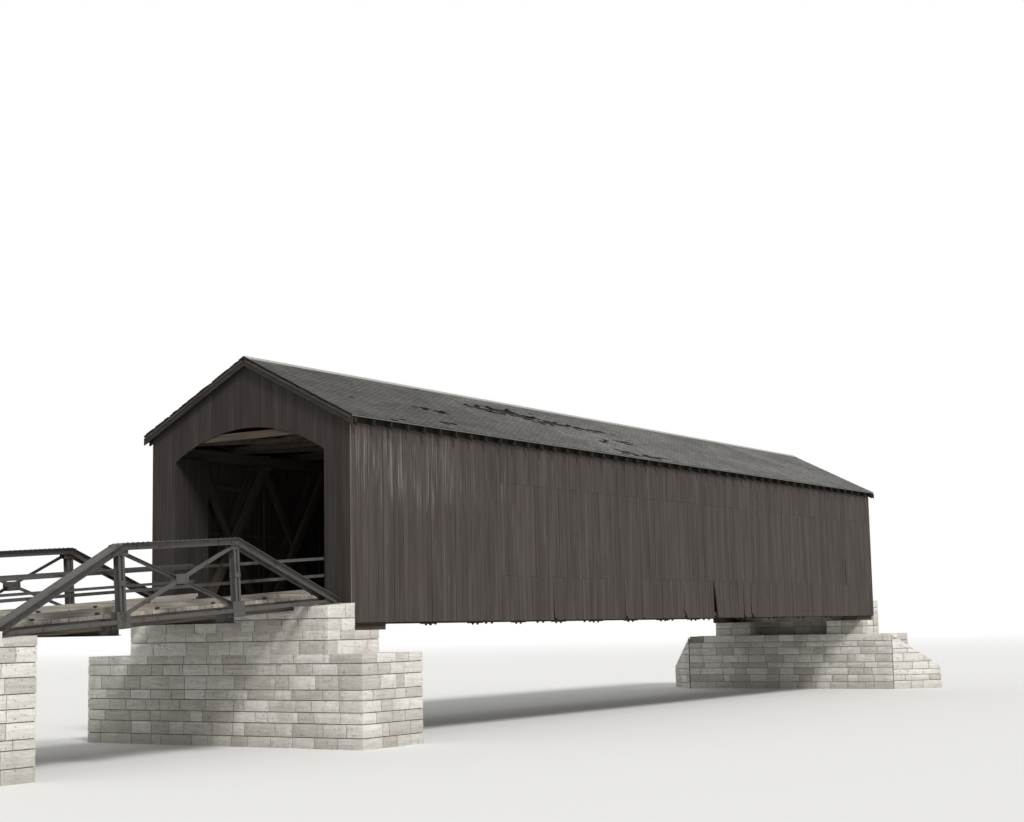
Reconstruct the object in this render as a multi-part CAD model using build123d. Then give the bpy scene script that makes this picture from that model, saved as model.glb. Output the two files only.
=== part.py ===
from build123d import *
from math import atan, cos, degrees, radians, sin, tan
import os

# A timber covered bridge with a steel pony truss approach span, in millimetres.
# X runs along the road from the front portal, Y across it to the left, Z up.
# Heights count from the bottom edge of the siding. Only the saved pieces move,
# so that the origin is on the ground under the middle of the whole bridge.

# Covered span
span_length = 29320
width = 5700
roof_rise = 1448
eave_overhang = 171
gable_overhang = 120
roof_thickness = 50
deck_height = 600

# Boards and portals
board_thickness = 25
barge_depth = 140
rake_board_depth = 90
spring_height = 3665
arch_rise = 621
lining_length = 1080
lining_depth = 144
furring_width = 100

# Trusses of the covered span
panel_count = 12
end_distance = 1050
nailer_thickness = 75
nailer_depth = 100
nailer_heights = (110, 1050, 2150, 3250)
stick_width = 125
stick_gap = 38
lower_chord_depth = 280
upper_chord_bottom = 3800
upper_chord_depth = 250
brace_width = 115
brace_depth = 190
counter_depth = 150
block_face = 240
end_post_depth = 200
rod_diameter = 32
washer_thickness = 20
washer_length = 150
nut_across = 56
nut_height = 30
rod_tip = 15

# Floor and bracing of the covered span
floor_beam_width = 150
floor_beam_depth = 180
floor_beams_per_panel = 3
floor_beam_rest = 125
plank_thickness = 75
runner_width = 750
track_width = 1600
floor_clearance = 20
lower_lateral_depth = 120
lower_lateral_width = 100
lower_lateral_height = 80
tie_beam_width = 150
tie_beam_depth = 150
tie_beam_to_eave = 212
upper_lateral_width = 90
upper_lateral_depth = 100

# Roof frame
wall_plate_width = 120
wall_plate_depth = 110
rafter_width = 50
rafter_depth = 150
rafter_count = 49
tail_setback = 20
ridge_cap_reach = 150
ridge_cap_thickness = 12

# Masonry and the timbers that lie on it
ground_depth = 2500
seat_depth = 620
bearing_length = 1120
pedestal_length = 1000
pedestal_width = 1400
bolster_depth = 150
bolster_width = 460
bolster_length = 1300
seat_side_reach = 1040
pier_front_length = 950
joint_gap = 20
back_wall_thickness = 500
wing_length = 1800
wing_thickness = 500
wing_slope = 32
wing_splay = 45
approach_seat_length = 700
approach_masonry_reach = 350

# Steel approach span
approach_panels = 3
approach_panel = 3000
approach_gap = 100
approach_offset = 216
approach_grade = 0.065
pony_depth = 1430
cover_width = 300
plate_thickness = 10
web_depth = 120
web_distance = 75
flange_reach = 45
angle_leg = 75
angle_reach = 50
angle_thickness = 9
post_slot = 45
post_flange = 53
post_top_cover = 70
batten_height = 90
gusset_reach = 160
gusset_drop = 90
gusset_rise = 140
gusset_cover = 60
diagonal_depth = 65
diagonal_clearance = 20
crossing_plate_length = 320
crossing_plate_height = 180
end_gusset_length = 450
shoe_length = 360
shoe_thickness = 25
chord_to_deck = 95
steel_beam_depth = 300
steel_beam_width = 125
stringer_count = 6
stringer_width = 100
stringer_depth = 200
deck_to_truss = 450
deck_overrun = 80
curb_width = 150
curb_depth = 75
curb_setback = 150
curb_block_height = 45
curb_block_count = 6
scupper_length = 130
rail_heights = (390, 745)
rail_depth = 60
rail_thickness = 30
rail_outset = 25
rail_to_jamb = 34
rail_entry = 250
bracket_depth = 50

# Sizes that follow from the ones above
half_width = width / 2
slope = roof_rise / half_width
slope_stretch = 1 / cos(atan(slope))
slab_drop = roof_thickness * slope_stretch
rafter_drop = slab_drop + rafter_depth * slope_stretch
roof_edge = half_width + eave_overhang
covered_run = (board_thickness, span_length - board_thickness)
siding_inner = half_width - board_thickness
truss_outer = siding_inner - nailer_thickness
truss_width = 3 * stick_width + 2 * stick_gap
truss_inner = truss_outer - truss_width
half_opening = truss_inner - lining_depth
truss_middle = truss_outer - truss_width / 2
rod_distance = (stick_width + stick_gap) / 2
panel_length = (span_length - 2 * end_distance) / panel_count
panel_points = [end_distance + panel_length * index for index in range(panel_count + 1)]
upper_chord_top = upper_chord_bottom + upper_chord_depth
chord_gap = upper_chord_bottom - lower_chord_depth
inner_brace_side = (truss_inner, truss_inner + brace_width)
outer_brace_side = (truss_outer - brace_width, truss_outer)
floor_beam_top = lower_chord_depth + floor_beam_depth
floor_top = floor_beam_top + plank_thickness
tie_beam_top = upper_chord_top + tie_beam_depth
eave_height = tie_beam_top + tie_beam_to_eave
seat_half_width = half_width + seat_side_reach
back_face = span_length - bearing_length
back_wall_start = span_length + joint_gap
back_wall_end = back_wall_start + back_wall_thickness
approach_length = approach_panels * approach_panel
approach_angle = atan(approach_grade)
approach_chord_height = deck_height - plank_thickness - chord_to_deck
approach_start = -approach_gap - approach_length * cos(approach_angle)
approach_wall_end = approach_start - joint_gap
approach_wall_start = approach_wall_end - back_wall_thickness
approach_deck_top = chord_to_deck + plank_thickness
half_approach_deck = half_opening - approach_offset - rail_to_jamb - rail_thickness - rail_outset
approach_deck_width = 2 * half_approach_deck
half_spacing = half_approach_deck + deck_to_truss
half_masonry = half_spacing + cover_width / 2 + approach_masonry_reach
web_bottom = plate_thickness + web_depth
gusset_side = web_distance - plate_thickness
end_post_slope = (pony_depth - angle_leg) / approach_panel
to_ground_middle = Pos(-(approach_wall_start + back_wall_end) / 2, 0, ground_depth)
approach_corner = Pos(-approach_gap, -approach_offset, approach_chord_height)
approach_tilt = approach_corner * Rot(0, -degrees(approach_angle), 0)


def around(middle, size):
    """The limits of a size laid evenly on both sides of its middle."""
    return (middle - size / 2, middle + size / 2)


def mirrored(limits):
    """The same limits on the other side of zero."""
    return (-limits[1], -limits[0])


def block(x_span, y_span, z_span):
    """A box between two limits on each axis."""
    spans = (x_span, y_span, z_span)
    corner = Pos(*[low for low, high in spans])
    return corner * Box(*[high - low for low, high in spans], align=(Align.MIN, Align.MIN, Align.MIN))


def side_shape(points, y_span):
    """An outline of X and Z points, thick along Y."""
    outline = Polyline(*[(x, y_span[0], z) for x, z in points], close=True)
    return extrude(make_face(outline), amount=y_span[1] - y_span[0], dir=(0, 1, 0))


def end_shape(points, x_span):
    """An outline of Y and Z points, thick along X."""
    outline = Polyline(*[(x_span[0], y, z) for y, z in points], close=True)
    return extrude(make_face(outline), amount=x_span[1] - x_span[0], dir=(1, 0, 0))


def shifted(path, distance):
    """A path of X and Z points moved to its left, with mitred corners."""
    points = [Vector(x, 0, z) for x, z in path]
    normals = []
    for start, end in zip(points, points[1:]):
        run = (end - start).normalized()
        normals.append(Vector(-run.Z, 0, run.X))
    result = []
    for index, point in enumerate(points):
        before = normals[max(index - 1, 0)]
        after = normals[min(index, len(normals) - 1)]
        mitre = (before + after).normalized()
        corner = point + mitre * (distance / mitre.dot(after))
        result.append((corner.X, corner.Z))
    return result


def band(path, low, high, y_span):
    """A strip along a path, between two distances from it."""
    return side_shape(shifted(path, low) + shifted(path, high)[::-1], y_span)


def crossed_bars(x_span, half_reach, bar_width, z_span):
    """One long bar across a bay, and two short ones that butt on its sides."""
    run = x_span[1] - x_span[0]
    turn = degrees(atan(2 * half_reach / run))
    middle = Pos(sum(x_span) / 2, 0, sum(z_span) / 2)
    bar = Box(2 * (run + half_reach), bar_width, z_span[1] - z_span[0])
    bay = block(x_span, (-half_reach, half_reach), z_span)
    long_bar = (middle * Rot(0, 0, turn) * bar) & bay
    short_bars = ((middle * Rot(0, 0, -turn) * bar) & bay) - long_bar
    return [long_bar, *short_bars.solids()]


def other_end(piece):
    """The same piece at the back end of the covered span."""
    return mirror(piece, about=Plane.YZ.offset(span_length / 2))


def roof_line(y, drop):
    """Height of a line that lies this far below the top of the roof."""
    return eave_height + slope * (half_width - y) - drop


def save(name, pieces):
    """Write one node with the origin on the ground under the middle."""
    solids = [solid for piece in pieces for solid in piece.solids()]
    export_step(to_ground_middle * Compound(solids), f"parts/{name}.step")


def save_both_sides(name, pieces):
    """Write a node on the left of the road and its mirror image on the right."""
    save(f"left_{name}", pieces)
    save(f"right_{name}", [mirror(piece, about=Plane.XZ) for piece in pieces])


def both_road_sides(pieces):
    return pieces + [mirror(piece, about=Plane.XZ) for piece in pieces]


def both_ends(pieces):
    return pieces + [other_end(piece) for piece in pieces]


# Howe trusses: each chord is three sticks, with gaps in which the rods hang
def stick_side(index):
    low = truss_inner + index * (stick_width + stick_gap)
    return (low, low + stick_width)


def chord(z_span):
    return [block(covered_run, stick_side(index), z_span) for index in range(3)]


def brace_angle():
    """The slope at which a brace stands square on the blocks at both ends."""
    angle = atan(chord_gap / panel_length)
    for _ in range(40):
        rise = chord_gap - block_face * cos(angle)
        run = panel_length - block_face * sin(angle)
        angle = atan(rise / run)
    return angle


block_half_base = block_face * sin(brace_angle())
block_height = block_face * cos(brace_angle())


def angle_blocks():
    """Blocks on the lower chord and under the upper chord, one on each stick."""
    pieces = []
    for point in panel_points:
        for base, rise in ((lower_chord_depth, block_height), (upper_chord_bottom, -block_height)):
            outline = [(point - block_half_base, base), (point, base + rise), (point + block_half_base, base)]
            pieces += [side_shape(outline, stick_side(index)) for index in range(3)]
    return pieces


def strut(foot, head, depth, y_span):
    """A timber from the block at its foot to the block at its head."""
    side = 1 if head > foot else -1
    start = (foot + side * block_half_base / 2, lower_chord_depth + block_height / 2)
    end = (head - side * block_half_base / 2, upper_chord_bottom - block_height / 2)
    return band([start, end], -depth / 2, depth / 2, y_span)


def leaning_panels():
    """The foot and head of the main brace in each panel, leaning to mid-span."""
    pairs = list(zip(panel_points, panel_points[1:]))
    return [pair if sum(pair) < span_length else pair[::-1] for pair in pairs]


def main_braces():
    sides = (inner_brace_side, outer_brace_side)
    return [strut(foot, head, brace_depth, side) for foot, head in leaning_panels() for side in sides]


def counters():
    side = around(truss_middle, brace_width)
    return [strut(head, foot, counter_depth, side) for foot, head in leaning_panels()]


def end_posts():
    """Posts that carry the ends of the upper chord behind the portals."""
    x_span = (board_thickness, board_thickness + end_post_depth)
    z_span = (lower_chord_depth, upper_chord_bottom)
    return [block(x_span, side, z_span) for side in (inner_brace_side, outer_brace_side)]


def rod_pair(point):
    """Two rods with nuts, hung through one washer plate at each end."""
    high_face = upper_chord_top + washer_thickness
    past_washer = nut_height + rod_tip
    rod_length = high_face + washer_thickness + 2 * past_washer
    nut = extrude(RegularPolygon(nut_across / 2, 6, major_radius=False), nut_height)
    rod = Cylinder(rod_diameter / 2, rod_length, align=(Align.CENTER, Align.CENTER, Align.MIN))
    rod = Pos(0, 0, -washer_thickness - past_washer) * rod
    rod += Pos(0, 0, -washer_thickness - nut_height) * nut
    rod += Pos(0, 0, high_face) * nut
    plate_sides = (around(point, washer_length), around(truss_middle, truss_width))
    pair = block(*plate_sides, (-washer_thickness, 0)) + block(*plate_sides, (upper_chord_top, high_face))
    for side in (-1, 1):
        pair += Pos(point, truss_middle + side * rod_distance, 0) * rod
    return pair


def siding():
    """Boards from the bottom edge up to the roof boards, notched round the rafters."""
    inner_top = roof_line(siding_inner, slab_drop)
    outer_top = roof_line(half_width, slab_drop)
    outline = [(siding_inner, 0), (half_width, 0), (half_width, outer_top), (siding_inner, inner_top)]
    return end_shape(outline, covered_run) - rafters()


def nailers():
    y_span = (truss_outer, siding_inner)
    heights = [*nailer_heights, upper_chord_bottom + upper_chord_depth / 2]
    return [block(covered_run, y_span, around(height, nailer_depth)) for height in heights]


# Floor of the covered span, and the bracing between the trusses
def floor_beams():
    """Beams on the lower chords between the feet of the braces."""
    first = board_thickness + floor_beam_width / 2
    places = [first, span_length - first]
    for start in panel_points[:-1]:
        spacing = panel_length / (floor_beams_per_panel + 1)
        places += [start + spacing * (index + 1) for index in range(floor_beams_per_panel)]
    half_length = truss_inner + floor_beam_rest
    z_span = (lower_chord_depth, floor_beam_top)
    beams = []
    for place in places:
        at_post = place in (first, span_length - first)
        reach = truss_inner if at_post else half_length
        beams.append(block(around(place, floor_beam_width), (-reach, reach), z_span))
    return beams


def floor_planks():
    half = truss_inner - floor_clearance
    return block(covered_run, (-half, half), (floor_beam_top, floor_top))


def wheel_runners():
    sides = (around(-track_width / 2, runner_width), around(track_width / 2, runner_width))
    return [block(covered_run, side, (floor_top, deck_height)) for side in sides]


def lower_laterals():
    """Crossed timbers between the lower chords, one set in each panel."""
    z_span = (lower_lateral_height, lower_lateral_height + lower_lateral_depth)
    bars = []
    for bay in zip(panel_points, panel_points[1:]):
        bars += crossed_bars(bay, truss_inner, lower_lateral_width, z_span)
    return bars


def tie_beam_sides():
    """Where the tie beams lie: one in each panel and one behind each portal."""
    middles = [start + panel_length / 2 for start in panel_points[:-1]]
    inner = board_thickness + tie_beam_width / 2
    places = [inner] + middles + [span_length - inner]
    return [around(place, tie_beam_width) for place in places]


def tie_beams():
    z_span = (upper_chord_top, tie_beam_top)
    return [block(side, (-truss_outer, truss_outer), z_span) for side in tie_beam_sides()]


def upper_laterals():
    """Crossed timbers on the upper chords, between the tie beams."""
    z_span = (upper_chord_top, upper_chord_top + upper_lateral_depth)
    sides = tie_beam_sides()
    half_reach = truss_inner + stick_width
    bars = []
    for before, after in zip(sides, sides[1:]):
        bars += crossed_bars((before[1], after[0]), half_reach, upper_lateral_width, z_span)
    return bars


# Roof
def wall_plate():
    y_span = (truss_outer - wall_plate_width, truss_outer)
    return block(covered_run, y_span, (tie_beam_top, tie_beam_top + wall_plate_depth))


def roof_strip(y_span, low_drop, high_drop, x_span):
    """A strip of one slope, between two depths below the roof's top."""
    inner, outer = y_span
    outline = [(inner, roof_line(inner, high_drop)), (outer, roof_line(outer, high_drop))]
    outline += [(outer, roof_line(outer, low_drop)), (inner, roof_line(inner, low_drop))]
    return end_shape(outline, x_span)


def rafters():
    """Rafters of one slope, notched over the wall plate."""
    x_span = (board_thickness, board_thickness + rafter_width)
    rafter = roof_strip((0, roof_edge - tail_setback), rafter_drop, slab_drop, x_span) - wall_plate()
    spacing = (span_length - 2 * board_thickness - rafter_width) / (rafter_count - 1)
    return [Pos(spacing * index, 0, 0) * rafter for index in range(rafter_count)]


def roof_run():
    return (-gable_overhang, span_length + gable_overhang)


def roof_slab():
    return roof_strip((0, roof_edge), slab_drop, 0, roof_run())


def ridge_cap():
    rise = ridge_cap_thickness * slope_stretch
    half = roof_strip((0, ridge_cap_reach), 0, -rise, roof_run())
    return half + mirror(half, about=Plane.XZ)


def rake_boards(depth, x_span):
    """A pair of boards up one gable, just under the roof."""
    low_drop = slab_drop + depth * slope_stretch
    board = roof_strip((0, roof_edge), low_drop, slab_drop, x_span)
    return board + mirror(board, about=Plane.XZ)


def barge_boards():
    outer = rake_boards(barge_depth, (-gable_overhang, board_thickness - gable_overhang))
    inner = rake_boards(rake_board_depth, (-board_thickness, 0))
    return [outer, inner]


# Portals
def portal():
    """The boards of one end wall, with its arched opening."""
    eave = roof_line(half_width, slab_drop)
    outline = [(-half_width, 0), (half_width, 0), (half_width, eave), (0, roof_line(0, slab_drop))]
    outline.append((-half_width, eave))
    wall = end_shape(outline, (0, board_thickness))
    left_spring = (0, half_opening, spring_height)
    right_spring = (0, -half_opening, spring_height)
    arch = ThreePointArc(right_spring, (0, 0, spring_height + arch_rise), left_spring)
    sill = [(0, half_opening, floor_top), (0, -half_opening, floor_top)]
    jambs = Polyline(left_spring, *sill, right_spring)
    return wall - extrude(make_face([arch, jambs]), amount=board_thickness, dir=(1, 0, 0))


def lining():
    """Boards and furring beside the road, behind one portal, on the left."""
    z_span = (floor_top, upper_chord_bottom)
    boards_outer = half_opening + board_thickness
    furring_side = (boards_outer, truss_inner)
    boards = block((board_thickness, lining_length), (half_opening, boards_outer), z_span)
    front = block((board_thickness, board_thickness + furring_width), furring_side, z_span)
    back = block((lining_length - furring_width, lining_length), furring_side, z_span)
    return [boards, front, back]


# Masonry, and the timbers on which the trusses lie
def pedestals():
    """Raised masonry under the ends of the two trusses."""
    x_span = (board_thickness, pedestal_length)
    y_span = (half_width - pedestal_width, half_width)
    z_span = (-seat_depth, -bolster_depth)
    return block(x_span, y_span, z_span) + block(x_span, mirrored(y_span), z_span)


def bolsters():
    x_span = (board_thickness, bolster_length)
    y_span = around(truss_middle, bolster_width)
    return [block(x_span, side, (-bolster_depth, 0)) for side in (y_span, mirrored(y_span))]


def under_approach(masonry):
    """Masonry cut to the slope of the shoes and stringers that lie on it."""
    reach = approach_length + 2 * pier_front_length
    long_run = (-reach, reach)
    over_shoes = block(long_run, (-2 * width, 2 * width), (-shoe_thickness, width))
    over_stringers = block(long_run, around(0, approach_deck_width), (chord_to_deck - stringer_depth, width))
    return masonry - approach_tilt * (over_shoes + over_stringers)


def river_pier():
    """The pier between the two spans, with a seat for each."""
    seat_side = (-seat_half_width, seat_half_width)
    body = block((-pier_front_length, bearing_length), seat_side, (-ground_depth, -seat_depth))
    front_side = around(-approach_offset, 2 * half_masonry)
    front = block((-pier_front_length, -joint_gap), front_side, (-seat_depth, deck_height))
    return body + under_approach(front) + pedestals()


def back_abutment():
    seat_side = (-seat_half_width, seat_half_width)
    body = block((back_face, back_wall_end), seat_side, (-ground_depth, -seat_depth))
    wall = block((back_wall_start, back_wall_end), (-half_width, half_width), (-seat_depth, floor_top))
    return body + wall + other_end(pedestals())


def wing_wall():
    """A splayed wall with a falling top, beside the back abutment."""
    end_top = -seat_depth - wing_length * tan(radians(wing_slope))
    outline = [(0, -ground_depth), (wing_length, -ground_depth), (wing_length, end_top), (0, -seat_depth)]
    wall = side_shape(outline, (-wing_thickness, 0))
    corner = Pos(back_face, seat_half_width, 0)
    abutment = block((back_face, back_wall_end), (0, seat_half_width), (-ground_depth, 0))
    return corner * Rot(0, 0, wing_splay) * wall - abutment


def approach_abutment():
    side = around(-approach_offset, 2 * half_masonry)
    seat_run = (approach_wall_end, approach_start + approach_seat_length)
    seat = block(seat_run, side, (-ground_depth, deck_height))
    fall = approach_length * sin(approach_angle)
    wall_top = approach_chord_height + chord_to_deck - fall
    wall = block((approach_wall_start, approach_wall_end), side, (-ground_depth, wall_top))
    return under_approach(seat) + wall


# Steel approach span, drawn level: X = 0 at its high end, Z = 0 under its
# lower chords, Y = 0 in the middle of the road or of the truss being drawn
approach_points = [-approach_panel * index for index in range(approach_panels, -1, -1)]
first_point, *post_points, last_point = approach_points
approach_run = (first_point, last_point)


def both_faces(low, high):
    """The same distances on both faces of a truss."""
    return ((low, high), (-high, -low))


def top_chord():
    """Cover plate, webs and lower flanges of the end posts and top chord."""
    corners = [(point, pony_depth) for point in post_points]
    path = [(first_point, angle_leg), *corners, (last_point, angle_leg)]
    member = band(path, -plate_thickness, 0, around(0, cover_width))
    for side in both_faces(web_distance, web_distance + plate_thickness):
        member += band(path, -web_bottom, -plate_thickness, side)
    for side in both_faces(web_distance, web_distance + flange_reach):
        member += band(path, -web_bottom, plate_thickness - web_bottom, side)
    below = block((2 * first_point, approach_panel), (-cover_width, cover_width), (-pony_depth, 0))
    return member - below


def bottom_chord():
    chord_angles = []
    for side in both_faces(gusset_side - angle_thickness, gusset_side):
        chord_angles.append(block(approach_run, side, (0, angle_leg)))
    for side in both_faces(gusset_side - angle_reach, gusset_side):
        chord_angles.append(block(approach_run, side, (0, angle_thickness)))
    return chord_angles


def post(point):
    """Two channels back to back, with a slot that battens close in places."""
    z_span = (angle_leg, pony_depth - post_top_cover)
    pieces = []
    for side in (-1, 1):
        back = point + side * post_slot / 2
        toe = back + side * post_flange
        web_end = back + side * angle_thickness
        pieces.append(block(sorted((back, web_end)), (-gusset_side, gusset_side), z_span))
        for face in both_faces(gusset_side - angle_thickness, gusset_side):
            pieces.append(block(sorted((back, toe)), face, z_span))
    batten_run = around(point, post_slot + 2 * post_flange)
    middle_height = around(pony_depth / 2, batten_height)
    for face in both_faces(gusset_side, web_distance):
        pieces.append(block(batten_run, face, middle_height))
    return pieces


def gussets(point):
    """Plates on both faces at the top and the foot of a post."""
    chord_bottom = pony_depth - web_bottom
    low = chord_bottom - gusset_drop
    high = pony_depth - gusset_cover
    upper = [(point - gusset_reach, low), (point + gusset_reach, low)]
    upper += [(point + gusset_reach, chord_bottom), (point + gusset_reach / 2, high)]
    upper += [(point - gusset_reach / 2, high), (point - gusset_reach, chord_bottom)]
    lower_height = (-gusset_drop, angle_leg + gusset_rise)
    pieces = []
    for face in both_faces(gusset_side, web_distance):
        pieces.append(side_shape(upper, face))
        pieces.append(block(around(point, 2 * gusset_reach), face, lower_height))
    return pieces


def middle_bracing():
    """Crossed angles of the middle panel, on opposite faces of the truss."""
    start, end = post_points
    half_post = post_slot / 2 + post_flange + diagonal_clearance
    low = angle_leg + diagonal_depth
    high = pony_depth - web_bottom
    fall = (high - low) / (end - start)
    first, last = start + half_post, end - half_post
    falling = [(first, high - fall * half_post), (last, low + fall * half_post)]
    rising = [(first, low + fall * half_post), (last, high - fall * half_post)]
    half_depth = diagonal_depth / 2
    pieces = []
    for path, side in ((falling, -1), (rising, 1)):
        leg = sorted((side * (gusset_side - angle_thickness), side * gusset_side))
        toe = sorted((side * (gusset_side - angle_reach), side * gusset_side))
        pieces.append(band(path, -half_depth, half_depth, leg))
        pieces.append(band(path, half_depth - angle_thickness, half_depth, toe))
    plate_run = around((start + end) / 2, crossing_plate_length)
    plate_height = around((low + high) / 2, crossing_plate_height)
    for face in both_faces(gusset_side, web_distance):
        pieces.append(block(plate_run, face, plate_height))
    return pieces


def end_gussets_and_shoes():
    """Plates and a bearing shoe at each lower end of the truss."""
    top = (end_gusset_length - gusset_reach) * end_post_slope + plate_thickness
    inner_end = -end_gusset_length
    outline = [(0, 0), (inner_end, 0), (inner_end, angle_leg), (gusset_reach - end_gusset_length, top)]
    outline.append((0, angle_leg - 2 * plate_thickness))
    pieces = [side_shape(outline, face) for face in both_faces(gusset_side, web_distance)]
    pieces.append(block((-shoe_length, 0), around(0, cover_width), (-shoe_thickness, 0)))
    middle = Plane.YZ.offset(-approach_length / 2)
    return pieces + [mirror(piece, about=middle) for piece in pieces]


def pony_truss():
    """One riveted truss, fused where its members meet."""
    members = bottom_chord() + middle_bracing() + end_gussets_and_shoes()
    for point in post_points:
        members += post(point) + gussets(point)
    truss = top_chord()
    for member in members:
        truss += member
    return truss


def approach_beams():
    """Rolled beams between the trusses at the feet of the posts."""
    reach = half_spacing - web_distance
    flange = steel_beam_width / 2
    high = chord_to_deck
    low = high - steel_beam_depth
    beams = []
    for point in post_points:
        web = block(around(point, plate_thickness), (-reach, reach), (low, high))
        top = block(around(point, steel_beam_width), (-reach, reach), (high - plate_thickness, high))
        bottom = block(around(point, steel_beam_width), (-reach, reach), (low, low + plate_thickness))
        beams.append(web + top + bottom)
    return beams


def approach_stringers():
    spacing = (approach_deck_width - stringer_width) / (stringer_count - 1)
    first = (stringer_width - approach_deck_width) / 2
    z_span = (chord_to_deck - stringer_depth, chord_to_deck)
    stops = [first_point - steel_beam_width / 2, *post_points, last_point + steel_beam_width / 2]
    pieces = []
    for before, after in zip(stops, stops[1:]):
        run = (before + steel_beam_width / 2, after - steel_beam_width / 2)
        for index in range(stringer_count):
            pieces.append(block(run, around(first + spacing * index, stringer_width), z_span))
    return pieces


def approach_planks():
    run = (first_point, last_point + deck_overrun)
    return block(run, (-half_approach_deck, half_approach_deck), (chord_to_deck, approach_deck_top))


def curb():
    """The left curb, raised on blocks with scuppers between them."""
    outer = half_approach_deck - curb_setback
    y_span = (outer - curb_width, outer)
    block_top = approach_deck_top + curb_block_height
    timber = block(approach_run, y_span, (block_top, block_top + curb_depth))
    spacing = approach_length / curb_block_count
    pieces = [timber]
    for index in range(curb_block_count):
        run = around(first_point + spacing * (index + 0.5), spacing - scupper_length)
        pieces.append(block(run, y_span, (approach_deck_top, block_top)))
    return pieces


def guard_rails():
    """The left rails, on brackets from the posts and the end posts."""
    inner = half_approach_deck + rail_outset
    outer = inner + rail_thickness
    path_to_web_middle = (plate_thickness + web_bottom) / 2 / cos(atan(end_post_slope))
    pieces = []
    for height in rail_heights:
        middle = approach_deck_top + height
        rail = block((first_point, rail_entry), (inner, outer), around(middle, rail_depth))
        for point in post_points:
            side = (outer, half_spacing - gusset_side)
            rail += block(around(point + post_slot, bracket_depth), side, around(middle, bracket_depth))
        from_end = (middle + path_to_web_middle - angle_leg) / end_post_slope
        for point in (first_point + from_end, last_point - from_end):
            side = (outer, half_spacing - web_distance - plate_thickness)
            rail += block(around(point, bracket_depth), side, around(middle, bracket_depth))
        pieces.append(rail)
    return pieces


def on_approach(pieces):
    return [approach_tilt * piece for piece in pieces]


os.makedirs("parts", exist_ok=True)
save_both_sides("lower_chord", chord((0, lower_chord_depth)))
save_both_sides("upper_chord", chord((upper_chord_bottom, upper_chord_top)))
save_both_sides("braces", main_braces())
save_both_sides("counters", counters())
save_both_sides("angle_blocks", angle_blocks())
save_both_sides("rods", [rod_pair(point) for point in panel_points[1:-1]])
save("end_posts", both_ends(both_road_sides(end_posts())))
save_both_sides("nailers", nailers())
save_both_sides("siding", [siding()])
save("floor_beams", floor_beams())
save("floor_planks", [floor_planks()])
save("wheel_runners", wheel_runners())
save("lower_laterals", lower_laterals())
save("tie_beams", tie_beams())
save("upper_laterals", upper_laterals())
save("wall_plates", both_road_sides([wall_plate()]))
save_both_sides("rafters", rafters())
save_both_sides("roof", [roof_slab()])
save("ridge_cap", [ridge_cap()])
save("barge_boards", both_ends(barge_boards()))
save("front_portal", [portal()])
save("back_portal", [other_end(portal())])
save("portal_linings", both_ends(both_road_sides(lining())))
save("bolsters", both_ends(bolsters()))
save("river_pier", [river_pier()])
save("back_abutment", [back_abutment()])
save("wing_walls", both_road_sides([wing_wall()]))
save("approach_abutment", [approach_abutment()])
left_truss = Pos(0, half_spacing, 0) * pony_truss()
save("left_pony_truss", on_approach([left_truss]))
save("right_pony_truss", on_approach([mirror(left_truss, about=Plane.XZ)]))
save("approach_beams", on_approach(approach_beams()))
save("approach_stringers", on_approach(approach_stringers()))
save("approach_planks", on_approach([approach_planks()]))
save("approach_curbs", on_approach(both_road_sides(curb())))
save("guard_rails", on_approach(both_road_sides(guard_rails())))
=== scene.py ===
# %% [markdown]
# # A covered bridge, dressed in boards, shingles and stone
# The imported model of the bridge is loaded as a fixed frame. It already holds the trusses,
# the roof frame, the masonry masses and the steel approach span at their real sizes.
# This lesson makes the finishes, and then lays the small things on it: boards, shingles, planks,
# stones, nails and rivets. Everything is in metres, in the frame's own axes: X runs along the
# road from the approach span, Y to the left of the road, and Z up.

# %% Load the frame
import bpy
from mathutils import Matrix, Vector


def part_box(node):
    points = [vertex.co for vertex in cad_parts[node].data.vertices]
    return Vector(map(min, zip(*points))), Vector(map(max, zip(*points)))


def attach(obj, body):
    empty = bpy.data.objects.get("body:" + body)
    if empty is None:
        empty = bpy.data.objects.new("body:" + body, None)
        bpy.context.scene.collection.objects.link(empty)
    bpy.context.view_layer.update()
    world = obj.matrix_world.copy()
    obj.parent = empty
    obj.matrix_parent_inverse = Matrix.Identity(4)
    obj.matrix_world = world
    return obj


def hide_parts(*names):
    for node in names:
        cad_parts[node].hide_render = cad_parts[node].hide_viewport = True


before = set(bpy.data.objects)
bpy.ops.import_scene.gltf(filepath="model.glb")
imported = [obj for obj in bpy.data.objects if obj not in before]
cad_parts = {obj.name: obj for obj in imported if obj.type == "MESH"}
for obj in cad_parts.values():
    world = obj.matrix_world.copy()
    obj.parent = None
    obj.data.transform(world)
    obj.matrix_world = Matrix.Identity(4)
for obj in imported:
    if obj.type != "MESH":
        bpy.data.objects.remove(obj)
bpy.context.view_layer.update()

import bmesh
import bpy
import math
import numpy as np
from mathutils import Matrix, Vector, noise

print("nodes in the frame:", len(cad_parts))

# %% [markdown]
# ## Places that everything else is measured from
# Nothing is placed by eye. The front portal, the siding and the roof give the planes that
# the new pieces lie on, so each place below is read from the frame's boxes.

# %% Planes of the covered span
RAFTER_COUNT = 49
RAFTER_WIDTH = 0.05
RAFTER_DEPTH = 0.15

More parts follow.
